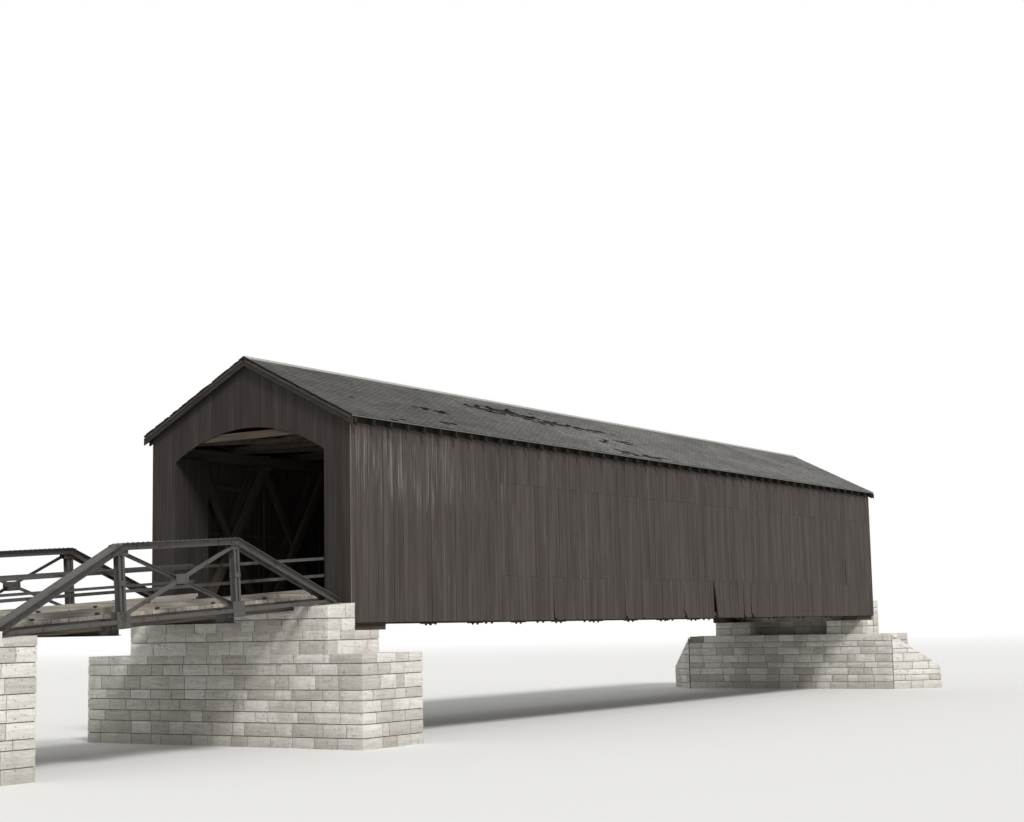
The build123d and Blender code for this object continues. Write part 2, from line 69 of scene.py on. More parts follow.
siding_low, siding_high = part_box("right_siding")
roof_low, roof_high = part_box("right_roof")
rafter_low, rafter_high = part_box("right_rafters")
front_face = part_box("front_portal")[0].x
back_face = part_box("back_portal")[1].x
middle_x = (front_face + back_face) / 2
half_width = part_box("front_portal")[1].y
siding_thickness = siding_high.y - siding_low.y
sill = siding_low.z
ridge_height = roof_high.z
eave_reach = -roof_low.y
cap_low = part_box("ridge_cap")[0]
slope_angle = math.atan2(ridge_height - cap_low.z, -cap_low.y)
rafter_step = (rafter_high.x - rafter_low.x - RAFTER_WIDTH) / (RAFTER_COUNT - 1)
siding_low_edge = siding_high.z - siding_thickness * math.tan(slope_angle)
board_top = siding_low_edge - RAFTER_DEPTH / math.cos(slope_angle)
print("covered span from", round(front_face, 3), "to", round(back_face, 3), "sill at", round(sill, 3))

# %% [markdown]
# ## One board, repeated
# A sawn board is a box with slightly worn edges. It could be a cube with a Bevel modifier for
# each board, but thousands of objects would be slow, and scaling a bevelled cube would stretch
# its edges. Here one small bevelled cube is shaped with bmesh operators, and its corners are
# copied with numpy: each copy is stretched to its own size while its worn edge stays the same.
# Each face also keeps three numbers of its own board, which the finishes read later.

# %% A bevelled block as the pattern
EDGE_SHARE = 0.1


def corners_and_faces(bm):
    """The corners of a small pattern, and which of them each face joins."""
    corners = np.array([v.co for v in bm.verts])
    faces = [[v.index for v in face.verts] for face in bm.faces]
    bm.free()
    return corners, faces


def pattern_block(worn):
    """A 2 m cube, with bevelled edges where it is worn."""
    bm = bmesh.new()
    bmesh.ops.create_cube(bm, size=2)
    if worn:
        bmesh.ops.bevel(bm, geom=bm.edges[:], offset=EDGE_SHARE, segments=1,
                        profile=0.5, affect="EDGES", material=-1)
    return corners_and_faces(bm)


def turned(points, angles, axis):
    """Each copy's points, turned about one axis by its own angle."""
    first, second = [(1, 2), (2, 0), (0, 1)][axis]
    cosine = np.cos(angles)[:, None]
    sine = np.sin(angles)[:, None]
    result = points.copy()
    result[..., first] = points[..., first] * cosine - points[..., second] * sine
    result[..., second] = points[..., first] * sine + points[..., second] * cosine
    return result


print("corners of a worn block:", len(pattern_block(True)[0]))


# %% A stack of boards
class Stack:
    """Boards, stones or shingles that end as one joined mesh."""

    def __init__(self, seed):
        self.rows = []
        self.random = np.random.default_rng(seed)

    def add(self, low, high, turns=(0, 0, 0), wear=0.5, broken=0.0):
        """A block between two corners, turned about its middle, with its foot broken off up to a height."""
        tone, shift = self.random.random(), self.random.random()
        self.rows.append([*low, *high, *turns, tone, shift, wear, broken])

    def mesh(self, name, edge, place=None):
        """All blocks as one mesh, with edges worn by this much, brought to their place by a matrix."""
        low, high, turns, marks, broken = np.split(np.array(self.rows, float), (3, 6, 9, 12), axis=1)
        corners, faces = pattern_block(edge > 0)
        inset = (1 - np.abs(corners)) * (edge / EDGE_SHARE)
        points = np.sign(corners) * ((high - low)[:, None, :] / 2 - inset)
        foot_corner = (corners[:, 0] < 0) & (corners[:, 2] < 0)
        points[:, foot_corner, 2] += broken
        for axis in range(3):
            points = turned(points, turns[:, axis], axis)
        points += ((low + high) / 2)[:, None, :]
        return joined_mesh(name, points, faces, marks, place, corners)


def joined_mesh(name, points, faces, marks, place=None, corners=None):
    """One mesh of many copies, with each copy's marks on its faces and its own corners as "spot"."""
    steps = np.arange(len(points)) * points.shape[1]
    all_faces = [[step + corner for corner in face] for step in steps.tolist() for face in faces]
    mesh = bpy.data.meshes.new(name)
    mesh.from_pydata(points.reshape(-1, 3), [], all_faces)
    mark = mesh.attributes.new("board", "FLOAT_VECTOR", "FACE")
    mark.data.foreach_set("vector", np.repeat(marks, len(faces), axis=0).astype(np.float32).ravel())
    if corners is not None:
        spot = mesh.attributes.new("spot", "FLOAT_VECTOR", "POINT")
        spot.data.foreach_set("vector", np.tile(corners, (len(points), 1)).astype(np.float32).ravel())
    if place:
        mesh.transform(place)
    mesh.update()
    return mesh


def new_object(name, data):
    """An object of the scene that holds a mesh, a lamp or a camera."""
    made = bpy.data.objects.new(name, data)
    bpy.context.scene.collection.objects.link(made)
    return made


def show(mesh, material, slot, *nodes):
    """A finished piece that rides on the bridge and stands for these nodes."""
    piece = new_object(mesh.name, mesh)
    mesh.materials.append(material)
    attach(piece, "root")
    if nodes:
        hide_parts(*nodes)
    print(piece.name, "triangles", sum(len(face.vertices) - 2 for face in mesh.polygons))


# %% [markdown]
# ## Finishes
# The photograph is black and white, so tones are taken from it and hues are kept quiet:
# worn brown-grey paint, grey shingles, pale stone. Every finish is a node tree on Object
# coordinates. Wiring each tree by hand would repeat the same few nodes, so two small classes
# give them short names: noise stretched along the grain, ramps that turn noise into patches,
# and mixes that lay one colour on another.

# %% Small helpers for any node tree
class Wiring:
    """Short names for the common nodes of one tree."""

    def __init__(self, tree):
        self.tree = tree

    def feed(self, node, inputs):
        """Links or sets inputs of a node, given by name or in their order."""
        for target, source in (inputs.items() if isinstance(inputs, dict) else enumerate(inputs)):
            if isinstance(source, bpy.types.NodeSocket):
                self.tree.links.new(source, node.inputs[target])
            else:
                node.inputs[target].default_value = source
        return node

    def node(self, kind, inputs=(), **settings):
        """A new node with these settings and inputs."""
        made = self.tree.nodes.new(kind)
        for name, value in settings.items():
            setattr(made, name, value)
        return self.feed(made, inputs)

    def math(self, operation, first, second=0.0):
        """One operation on two values."""
        return self.node("ShaderNodeMath", (first, second), operation=operation).outputs[0]

    def split(self, vector):
        """The three parts of a vector."""
        return self.node("ShaderNodeSeparateXYZ", (vector,)).outputs[:]

    def joined(self, values):
        """A vector of three values."""
        return self.node("ShaderNodeCombineXYZ", values).outputs[0]

    def ramp(self, value, low, high, bottom=0.0, top=1.0):
        """A value spread from low..high to bottom..top, held at both ends."""
        inputs = {"Value": value, "From Min": low, "From Max": high, "To Min": bottom, "To Max": top}
        made = self.node("ShaderNodeMapRange", inputs, clamp=True, interpolation_type="SMOOTHSTEP")
        return made.outputs["Result"]

    def mix(self, share, first, second):
        """Two colours, with this share of the second one."""
        first, second = (colour if isinstance(colour, bpy.types.NodeSocket) else (*colour, 1)
                         for colour in (first, second))
        made = self.node("ShaderNodeMix", {"Factor": share, "A": first, "B": second}, data_type="RGBA")
        return made.outputs["Result"]

    def shade(self, colour, value, low, high, bottom, top):
        """The colour times bottom..top, while a value goes from low to high."""
        inputs = {0: colour, "Scale": self.ramp(value, low, high, bottom, top)}
        return self.node("ShaderNodeVectorMath", inputs, operation="SCALE").outputs[0]


# %% Helpers for one finish
BOARD_SHIFTS = (37.0, 48.0, 59.0)


class Finish(Wiring):
    """A material under construction, with patterns that lie in the bridge's own space."""

    def __init__(self, name, roughness=0.85, specular=0.3):
        self.material = bpy.data.materials.new(name)
        self.material.use_nodes = True
        super().__init__(self.material.node_tree)
        self.shader = self.tree.nodes["Principled BSDF"]
        self.feed(self.shader, {"Roughness": roughness, "Specular IOR Level": specular})
        self.place = self.node("ShaderNodeTexCoord").outputs["Object"]

    def marks(self, name="board"):
        """Three numbers of a board's own, or as "spot" the place on the board, from -1 to 1 each way."""
        return self.split(self.node("ShaderNodeAttribute", attribute_name=name).outputs["Vector"])

    def axes(self):
        """The three coordinates of the place that is being coloured."""
        return self.split(self.place)

    def lean(self, angle, direction):
        """Turns the coordinates with a truss member, so that Z runs along it on both halves of the span."""
        x, y, z = self.axes()
        half = self.math("SIGN", self.math("SUBTRACT", x, middle_x))
        sine, cosine = self.math("MULTIPLY", half, math.sin(angle) * direction), math.cos(angle)
        across = self.math("ADD", self.math("MULTIPLY", x, cosine), self.math("MULTIPLY", z, sine))
        along = self.math("SUBTRACT", self.math("MULTIPLY", z, cosine), self.math("MULTIPLY", x, sine))
        self.place = self.joined((across, y, along))

    def noise(self, scale, detail=4.0, roughness=0.6, shift=None):
        """Noise of this many waves to the metre, on each axis or on all, moved by a board's own number."""
        inputs = {"Vector": self.place, "Scale": scale if isinstance(scale, tuple) else (scale,) * 3}
        if shift is not None:
            inputs["Location"] = self.joined([self.math("MULTIPLY", shift, far) for far in BOARD_SHIFTS])
        stretched = self.node("ShaderNodeMapping", inputs).outputs[0]
        inputs = {"Vector": stretched, "Scale": 1.0, "Detail": detail, "Roughness": roughness}
        return self.node("ShaderNodeTexNoise", inputs).outputs["Fac"]

    def done(self, colour, height, depth, roughness=None):
        """The finished material: its colour, and a relief of this depth in metres."""
        relief = self.node("ShaderNodeBump", {"Strength": 1.0, "Distance": depth, "Height": height})
        self.feed(self.shader, {"Base Color": colour, "Normal": relief.outputs["Normal"]})
        if roughness is not None:
            self.feed(self.shader, {"Roughness": roughness})
        return self.material


# %% [markdown]
# ### Worn paint on sawn boards
# The siding was painted once and has weathered to a dark, matt brown-grey. Rain has washed the
# paint off in thin streaks that follow the grain, most of all under the eaves near the front.
# A picture of boards would repeat and stretch, so noise stretched along the grain makes the
# wood, and a second, sharper one decides where the paint is gone.

# %% Painted board finishes
GRAIN = {"x": (0.6, 46.0, 46.0), "y": (46.0, 0.6, 46.0), "z": (46.0, 46.0, 0.6), "flat": (9.0, 9.0, 46.0)}
STREAK = {"x": (0.8, 66.0, 66.0), "y": (66.0, 0.8, 66.0), "z": (66.0, 66.0, 0.8), "flat": (12.0, 12.0, 66.0)}
BROAD = {"x": (0.35, 5.0, 5.0), "y": (5.0, 0.35, 5.0), "z": (5.0, 5.0, 0.35), "flat": (2.0, 2.0, 5.0)}
PAINT = (0.0575, 0.0465, 0.0413)
FADED_PAINT = (0.0765, 0.0648, 0.0592)
BARE_WOOD = (0.235, 0.215, 0.192)
WORN_EDGE = 0.14
FACE_DEPTHS = (0.016, 0.008)


def painted_boards(name, grain, washed_from=None, depth=1.0, bare_from=0.68):
    """Worn paint. A depth below 1 makes it darker, which on the portals and barge boards is painted shade,
    and a higher bare_from leaves more of it.
    """
    finish = Finish(name, roughness=0.9, specular=0.2)
    tone, shift, wear = finish.marks()
    fine = finish.noise(GRAIN[grain], 5, 0.65, shift)
    broad = finish.noise(BROAD[grain], 4, 0.6)
    streaks = finish.noise(STREAK[grain], 3, 0.55, shift)
    across = finish.math("ABSOLUTE", finish.marks("spot")[0])
    paint = finish.mix(finish.ramp(broad, 0.3, 0.7), PAINT, FADED_PAINT)
    paint = finish.shade(paint, fine, 0.3, 0.7, 0.72 * depth, 1.24 * depth)
    paint = finish.shade(paint, across, 0.8, 1.0, 1.0, 0.72)
    paint = finish.shade(paint, tone, 0.0, 1.0, 0.92, 1.08)
    washed = finish.math("ADD", streaks, finish.math("MULTIPLY", wear, 0.06))
    if washed_from:
        x, y, z = finish.axes()
        along = finish.ramp(x, washed_from + 2.5, washed_from + 8.0, 1.0, 0.0)
        upper = finish.math("MULTIPLY", finish.ramp(z, board_top - 2.4, board_top - 1.1),
                            finish.ramp(z, board_top - 0.45, board_top - 0.1, 1.0, 0.35))
        wash = finish.math("MULTIPLY", along, upper)
        washed = finish.math("ADD", washed, finish.math("MULTIPLY", wash, 0.12))
    worn = finish.ramp(washed, bare_from, bare_from + WORN_EDGE)
    if washed_from:
        within, outer = (half_width - step for step in FACE_DEPTHS)
        worn = finish.math("MULTIPLY", worn, finish.ramp(finish.math("ABSOLUTE", y), within, outer))
    return finish.done(finish.mix(worn, paint, BARE_WOOD), fine, 0.0016, finish.ramp(worn, 0, 1, 0.82, 0.95))


siding_paint = painted_boards("siding_paint", "z", washed_from=front_face)
# The portal paint is darker as painted shade: it stands for the shade over the portals and the passages
# behind them.
portal_paint = painted_boards("portal_paint", "z", depth=0.6, bare_from=0.77)
# The barge boards are darker as painted shade: it stands for the shade over the gables.
barge_paint = painted_boards("barge_paint", "y", depth=0.55)
trim_paint = painted_boards("trim_paint", "y", depth=1.15)
corner_paint = painted_boards("corner_paint", "z", depth=1.95)
print("painted finishes:", len([material for material in bpy.data.materials if "paint" in material.name]))

# %% [markdown]
# ### Bare timber
# The trusses, beams and rafters were never painted. Out of the rain they keep a dull brown,
# with darker grain and fine checks along it. The rafters are made near black instead, as painted
# shade under the eaves. The wheel tracks and the planks of the approach lie in the weather and
# have turned pale grey. One function makes them all, because only the direction of the grain and
# two colours differ. For a leaning brace the coordinates are turned with it, so that the grain
# doesn't cut across the wood.

# %% Timber finishes
TIMBER_DARK = (0.042, 0.034, 0.027)
TIMBER_LIGHT = (0.115, 0.095, 0.076)
DECK_DARK = (0.23, 0.205, 0.175)
DECK_LIGHT = (0.5, 0.47, 0.42)
CHECK_COLOUR = (0.02, 0.017, 0.014)
CHECK_SHARE = 0.55


def lean_of(node):
    """The angle between upright and the longest edge of a node."""
    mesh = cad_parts[node].data
    runs = [mesh.vertices[edge.vertices[0]].co - mesh.vertices[edge.vertices[1]].co for edge in mesh.edges]
    longest = max(runs, key=lambda run: run.length)
    return math.atan2(abs(longest.x), abs(longest.z))


def timber(name, grain, dark=TIMBER_DARK, light=TIMBER_LIGHT, marked=False, lean=None):
    """Bare wood between two colours. Marked wood differs from board to board."""
    finish = Finish(name, roughness=0.92, specular=0.15)
    if lean:
        finish.lean(*lean)
    tone, shift = finish.marks()[:2] if marked else (None, None)
    fine = finish.noise(GRAIN[grain], 6, 0.65, shift)
    broad = finish.noise(BROAD[grain], 4, 0.6, shift)
    checks = finish.ramp(finish.noise(STREAK[grain], 2, 0.5, shift), 0.68, 0.74)
    colour = finish.mix(finish.ramp(fine, 0.25, 0.75), dark, light)
    colour = finish.shade(colour, broad, 0.25, 0.75, 0.75, 1.2)
    if marked:
        colour = finish.shade(colour, tone, 0, 1, 0.78, 1.2)
    colour = finish.mix(finish.math("MULTIPLY", checks, CHECK_SHARE), colour, CHECK_COLOUR)
    return finish.done(colour, finish.math("SUBTRACT", fine, checks), 0.0022)


timber_along = timber("timber_along", "x")
timber_across = timber("timber_across", "y")
timber_upright = timber("timber_upright", "z")
timber_crossed = timber("timber_crossed", "flat")
brace_timber = timber("brace_timber", "z", lean=(lean_of("left_braces"), 1))
counter_timber = timber("counter_timber", "z", lean=(lean_of("left_counters"), -1))
# The rafters' near-black colours are painted shade: they stand for the shadow under the eaves, and the eave
# blocks use them too.
rafter_timber = timber("rafter_timber", "y", (0.014, 0.0115, 0.0095), (0.033, 0.028, 0.024))
deck_across = timber("deck_across", "y", DECK_DARK, DECK_LIGHT, marked=True)
deck_along = timber("deck_along", "x", DECK_DARK, DECK_LIGHT)
covered_floor = timber("covered_floor", "y", (0.12, 0.1, 0.08), (0.27, 0.235, 0.195), marked=True)
covered_track = timber("covered_track", "x", (0.14, 0.12, 0.1), (0.31, 0.275, 0.235), marked=True)
sheathing_timber = timber("sheathing_timber", "x", (0.011, 0.0095, 0.008), (0.032, 0.027, 0.023), marked=True)
print("braces lean by", round(math.degrees(lean_of("left_braces")), 1), "degrees")

# %% [markdown]
# ### Shingles
# Shingles differ a little from one to the next and carry fine grit. In the photograph their
# slanting weave is stronger than their single edges, so the colour follows each shingle's own
# "spot": darker where the next one overlaps it and along one side, partly dirt and partly painted
# shade, and a painted highlight along the other.

# %% Shingle finish
DARK_SHINGLE = (0.14, 0.138, 0.133)
PALE_SHINGLE = (0.195, 0.191, 0.183)


def shingle_finish():
    """Grey shingles that are darker towards the front of the roof, with painted shade and a painted highlight
    on each shingle.
    """
    finish = Finish("shingle_finish", roughness=0.95, specular=0.15)
    tone = finish.marks()[0]
    across, up = finish.marks("spot")[:2]
    grit = finish.noise(260.0, 2, 0.7)
    clouds = finish.noise((0.5, 0.9, 0.9), 4, 0.6)
    streaks = finish.noise((5.0, 0.9, 0.9), 3, 0.6)
    colour = finish.mix(finish.ramp(clouds, 0.35, 0.68), DARK_SHINGLE, PALE_SHINGLE)
    colour = finish.shade(colour, tone, 0, 1, 0.86, 1.14)
    colour = finish.shade(colour, streaks, 0.25, 0.75, 0.93, 1.06)
    # Painted shade, with some dirt, along one side and under the next course, where raised edges throw
    # shadow; a painted highlight along the other side.
    colour = finish.shade(colour, across, -1.0, -0.45, 0.2, 1.0)
    colour = finish.shade(colour, across, 0.5, 1.0, 1.0, 1.3)
    colour = finish.shade(colour, up, -0.1, 0.6, 1.0, 0.7)
    colour = finish.shade(colour, grit, 0.2, 0.8, 0.85, 1.15)
    colour = finish.shade(colour, finish.axes()[0], front_face, front_face + 14.0, 0.62, 0.98)
    return finish.done(colour, grit, 0.001)


shingle_face = shingle_finish()
print("shingle nodes:", len(shingle_face.node_tree.nodes))

# %% [markdown]
# ### Stone and mortar
# Limestone is pale, with beds, pits and rain stains, and damp makes it darker at the ground.
# The mortar between the stones is sandy and darker. Both are patterns in space, so they run
# round the corners of a stone as they do in the real one.

# %% Stone and mortar finishes
def stone_finish():
    """Pale limestone, a little different from stone to stone."""
    finish = Finish("limestone", roughness=0.93, specular=0.2)
    tone, shift = finish.marks()[:2]
    grain = finish.noise(55.0, 5, 0.7)
    beds = finish.noise((2.0, 2.0, 22.0), 4, 0.65, shift)
    pits = finish.ramp(finish.noise(16.0, 4, 0.7), 0.58, 0.7)
    stains = finish.ramp(finish.noise((1.6, 1.6, 0.5), 4, 0.6), 0.48, 0.78)
    damp = finish.ramp(finish.axes()[2], 0.0, 0.6, 0.3, 0.0)
    colour = finish.mix(finish.ramp(tone, 0, 1), (0.6, 0.575, 0.52), (0.84, 0.82, 0.77))
    colour = finish.shade(colour, grain, 0.25, 0.75, 0.82, 1.12)
    colour = finish.shade(colour, beds, 0.3, 0.7, 0.84, 1.06)
    colour = finish.mix(finish.math("MULTIPLY", stains, 0.45), colour, (0.4, 0.375, 0.32))
    colour = finish.mix(finish.math("MULTIPLY", pits, 0.6), colour, (0.27, 0.25, 0.21))
    colour = finish.mix(damp, colour, (0.24, 0.225, 0.18))
    height = finish.math("ADD", finish.math("SUBTRACT", grain, pits), beds)
    return finish.done(colour, height, 0.009)


def mortar_finish():
    """Sandy mortar with damp patches."""
    finish = Finish("mortar", roughness=0.96, specular=0.1)
    sand = finish.noise(120.0, 3, 0.7)
    damp = finish.noise(2.5, 3, 0.6)
    colour = finish.mix(finish.ramp(damp, 0.35, 0.7), (0.2, 0.185, 0.155), (0.36, 0.335, 0.29))
    colour = finish.shade(colour, sand, 0.25, 0.75, 0.8, 1.15)
    return finish.done(colour, sand, 0.003)


limestone = stone_finish()
mortar = mortar_finish()
print("limestone nodes:", len(limestone.node_tree.nodes))

# %% [markdown]
# ### Steel and iron
# The steel of the approach was painted grey and rusts where water lies, and the truss rods are
# plain rusty iron. Rust could be a picture laid over the paint. Here three noises, blotches,
# speckles and upright runs, are added up, and past a certain sum the paint turns to rust.

# %% Metal finishes
METAL_ROUGHNESS = 0.7


def old_metal(name, paint, rust, rust_from):
    """Painted metal that rusts where three noises add up to rust_from."""
    finish = Finish(name, specular=0.4)
    blotches = finish.noise(3.2, 5, 0.7)
    speckle = finish.noise(70.0, 4, 0.7)
    runs = finish.noise((16.0, 16.0, 1.3), 3, 0.6)
    mixed = finish.math("ADD", blotches, finish.math("MULTIPLY", speckle, 0.35))
    mixed = finish.math("ADD", mixed, finish.math("MULTIPLY", runs, 0.3))
    rusted = finish.ramp(mixed, rust_from, rust_from + 0.16)
    colour = finish.shade(finish.mix(rusted, paint, rust), speckle, 0.2, 0.8, 0.8, 1.2)
    return finish.done(colour, speckle, 0.0012, finish.ramp(rusted, 0, 1, METAL_ROUGHNESS, 0.95))


bridge_steel = old_metal("bridge_steel", (0.082, 0.079, 0.075), (0.06, 0.042, 0.032), 0.86)
rod_iron = old_metal("rod_iron", (0.05, 0.04, 0.034), (0.085, 0.05, 0.035), 0.75)
drip_metal = old_metal("drip_metal", (0.2, 0.197, 0.19), (0.12, 0.1, 0.085), 0.92)
ridge_metal = old_metal("ridge_metal", (0.36, 0.355, 0.34), (0.2, 0.17, 0.145), 0.95)
nail_iron = old_metal("nail_iron", (0.07, 0.055, 0.048), (0.12, 0.07, 0.045), 0.8)
print("finishes:", len(bpy.data.materials))

# %% [markdown]
# ## Siding
# The long walls are upright boards of mixed widths. Past the first 5.6 m most upright runs are
# cut in three lengths that butt on the nailers about 1.05 and 3.25 m above the bottom edge, and
# some boards run through. A few boards lean, are kicked out, broken at the foot or missing a
# strip, all on the side that faces the camera. An array would repeat one board and show it, so
# a loop lays each board with its own draw, and each side gets its own seed.

# %% Sizes of the siding boards
BOARD_WIDTHS = (0.15, 0.235)
BOARD_GAPS = (0.002, 0.008)
BOARD_EDGE = 0.002
BUTT_HEIGHTS = (1.05, 3.25)
BUTT_GAP = 0.003
BUTTED_SHARE = 0.8
FULL_LENGTH_RUN = 5.6
WALL_MARGIN = 0.025
UNEVEN_FOOT = 0.012
UNEVEN_FACE = 0.007
SHORTEST = 0.01
board_depth = siding_thickness - 0.005

# Damaged boards of the near side: distance from the front, lean sideways, lean outwards, broken height
DAMAGED_BOARDS = ((16.82, 0.15, 0.035, 0.0), (14.95, 0.012, 0.02, 0.2), (8.1, 0.02, 0.02, 0.08),
                  (12.55, -0.012, 0.015, 0.05), (18.85, 0.012, 0.02, 0.09), (19.45, 0.012, 0.02, 0.14),
                  (11.7, 0.012, 0.012, 0.11))
KICKED_LEAN = 0.1
KICKED_OUT = 0.022
SLIT_PLACE = 26.9
SLIT_TOP = 1.93
SLIT_WIDTH = 0.055


# %% Lay the siding
def next_size(random, sizes, left_over, least):
    """A size drawn between two limits, or all that is left over where less than the least would remain."""
    size = random.uniform(*sizes)
    return left_over if left_over - size < least else size


def cut_heights(random, from_front, damage):
    """Heights at which one upright run of boards is cut, from its foot up."""
    cuts = [0.0, board_top - sill]
    for height in BUTT_HEIGHTS:
        butted = random.random() < BUTTED_SHARE and from_front > FULL_LENGTH_RUN
        if butted or (damage and height == BUTT_HEIGHTS[0]):
            cuts.append(height + random.normal(0, 0.004))
    return sorted(cuts)


def parts_round_slit(left, right, low, high):
    """The parts that are left of one board round the slit that runs up from its foot."""
    split = front_face + SLIT_PLACE
    past = min(split + SLIT_WIDTH, right)
    parts = [(left, split, low, high), (split, past, sill + SLIT_TOP, high)]
    if past < right - SHORTEST:
        parts.append((past, right, low, high))
    return parts


def siding_boards(seed, damaged):
    """Boards of one long wall, drawn on the right side of the road."""
    stack = Stack(seed)
    random = stack.random
    place, end = front_face + WALL_MARGIN, back_face - WALL_MARGIN
    while place < end - SHORTEST:
        width = next_size(random, BOARD_WIDTHS, end - place, BOARD_WIDTHS[0])
        gap = random.uniform(*BOARD_GAPS)
        left, right = place + gap / 2, place + width - gap / 2
        from_front = place - front_face
        damage = [row[1:] for row in DAMAGED_BOARDS if damaged and 0 < row[0] - from_front < width]
        slit = damaged and from_front <= SLIT_PLACE < from_front + width
        cuts = cut_heights(random, from_front, damage)
        foot = random.uniform(0, UNEVEN_FOOT)
        for index, (low, high) in enumerate(zip(cuts, cuts[1:])):
            outer = -half_width + random.uniform(0, UNEVEN_FACE)
            low_end = sill + (low + BUTT_GAP / 2 if index else foot)
            high_end = sill + high - BUTT_GAP / 2
            lean, tip, broken = damage[0] if damage and not index else (0.0, 0.0, 0.0)
            side_shift = math.sin(lean) * (high_end - low_end) / 2
            outer -= math.sin(tip) * (high_end - low_end) / 2 + (KICKED_OUT if lean > KICKED_LEAN else 0.0)
            parts = [(left, right, low_end, high_end)]
            if slit and index == 1:
                parts = parts_round_slit(*parts[0])
            for part_left, part_right, part_low, part_high in parts:
                stack.add((part_left + side_shift, outer, part_low),
                          (part_right + side_shift, outer + board_depth, part_high),
                          turns=(-tip, -lean, random.normal(0, 0.001)), wear=random.random(), broken=broken)
        place += width
    return stack


half_turn = Matrix.Translation((2 * middle_x, 0, 0)) @ Matrix.Rotation(math.pi, 4, "Z")
right_boards = siding_boards(11, damaged=True)
left_boards = siding_boards(12, damaged=False)
show(right_boards.mesh("right_siding_boards", BOARD_EDGE), siding_paint, "painted_boards", "right_siding")
show(left_boards.mesh("left_siding_boards", BOARD_EDGE, half_turn), siding_paint,
     "painted_boards", "left_siding")
print("siding boards:", len(right_boards.rows), len(left_boards.rows))

# %% [markdown]
# ## Blocks under the eaves
# The siding stops under the rafters. Above it a short block fills the space between each rafter
# and the next, so no light falls in at the eave. The blocks are pieces of their own, because
# they are bare wood coloured near black as painted shade, the shade deep under the eaves.

# %% Blocks between the rafters
BLOCK_SETBACK = 0.003
BLOCK_LAP = 0.001


def eave_blocks(seed):
    """Short boards between the rafters, from the siding up to the roof boards."""
    stack = Stack(seed)
    for index in range(RAFTER_COUNT - 1):
        left = rafter_low.x + index * rafter_step + RAFTER_WIDTH
        right = left + rafter_step - RAFTER_WIDTH
        stack.add((left, -half_width + BLOCK_SETBACK, board_top - BLOCK_LAP),
                  (right, -half_width + siding_thickness, siding_low_edge), wear=0.3)
    return stack


for side, seed, place in (("right", 13, None), ("left", 14, half_turn)):
    show(eave_blocks(seed).mesh(f"{side}_eave_blocks", BOARD_EDGE, place), rafter_timber, "painted_boards")

# %% [markdown]
# ## Corner strips
# A thin strip covers the end grain where a long wall meets an end wall, and its fresher paint
# shows as a pale upright line. It could be painted on, but it stands proud and catches the
# light, so four narrow boards are laid on the faces of the walls.

# %% Corner strips
CORNER_WIDTH = 0.034
CORNER_DEPTH = 0.006
CORNER_TOP_GAP = 0.03
STRIP_EDGE = 0.001
corner_strips = Stack(15)
for side in (-1, 1):
    for start in (front_face, back_face - CORNER_WIDTH):
        inner, outer = sorted((side * half_width, side * (half_width + CORNER_DEPTH)))
        corner_strips.add((start, inner, sill),
                          (start + CORNER_WIDTH, outer, board_top - CORNER_TOP_GAP), wear=0.9)
show(corner_strips.mesh("corner_strips", STRIP_EDGE), corner_paint, "painted_boards")

# %% [markdown]
# ## Portal boards
# Each end wall is a curved outline: a gable with a low arch cut from it. Its boards stand
# upright too, so every board has its own shaped end. The quickest true way is to take a copy of
# the frame's wall and cut it at each seam with a plane, which leaves the arch and the slope on
# each board exactly as the wall has them. The edges are then eased by a small bevel.

# %% Tools for cutting up a solid
def merged_copy(node):
    """A copy of a node's mesh with its loose triangles joined up, and its own faces marked 1."""
    bm = bmesh.new()
    bm.from_mesh(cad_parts[node].data)
    bmesh.ops.remove_doubles(bm, verts=bm.verts[:], dist=0.00001)
    bmesh.ops.dissolve_limit(bm, angle_limit=0.01, verts=bm.verts[:], edges=bm.edges[:],
                             use_dissolve_boundaries=False, delimit=set())
    own = bm.faces.layers.int.new("own")
    for face in bm.faces:
        face[own] = 1
    return bm


def cut_away(bm, point, normal):
    """Removes what lies beyond a plane and closes the cut with faces marked 0."""
    geometry = bm.verts[:] + bm.edges[:] + bm.faces[:]
    cut = bmesh.ops.bisect_plane(bm, geom=geometry, plane_co=point, plane_no=normal,
                                 clear_outer=True, clear_inner=False, dist=0.000001)
    edges = [item for item in cut["geom_cut"] if isinstance(item, bmesh.types.BMEdge)]
    if edges:
        own = bm.faces.layers.int["own"]
        for face in bmesh.ops.holes_fill(bm, edges=edges, sides=0)["faces"]:
            face[own] = 0


def empty_joined():
    """A mesh in the making that keeps three numbers on each face."""
    joined = bmesh.new()
    joined.faces.layers.float_vector.new("board")
    return joined


def add_marked(joined, piece, random):
    """Copies one cut piece into the joined mesh and gives its faces three numbers of their own."""
    holder = bpy.data.meshes.new("one_piece")
    piece.to_mesh(holder)
    first = len(joined.faces)
    joined.from_mesh(holder)
    bpy.data.meshes.remove(holder)
    joined.faces.ensure_lookup_table()
    layer = joined.faces.layers.float_vector["board"]
    mark = Vector(random.random(3))
    for face in joined.faces[first:]:
        face[layer] = mark


def finished_mesh(bm, name):
    """The mesh of a bmesh, which is freed."""
    mesh = bpy.data.meshes.new(name)
    bm.to_mesh(mesh)
    bm.free()
    return mesh


# %% Cut each end wall into upright boards
PORTAL_JOINT = 0.003
PORTAL_EDGE = 0.0015
PORTAL_UNEVEN = 0.003


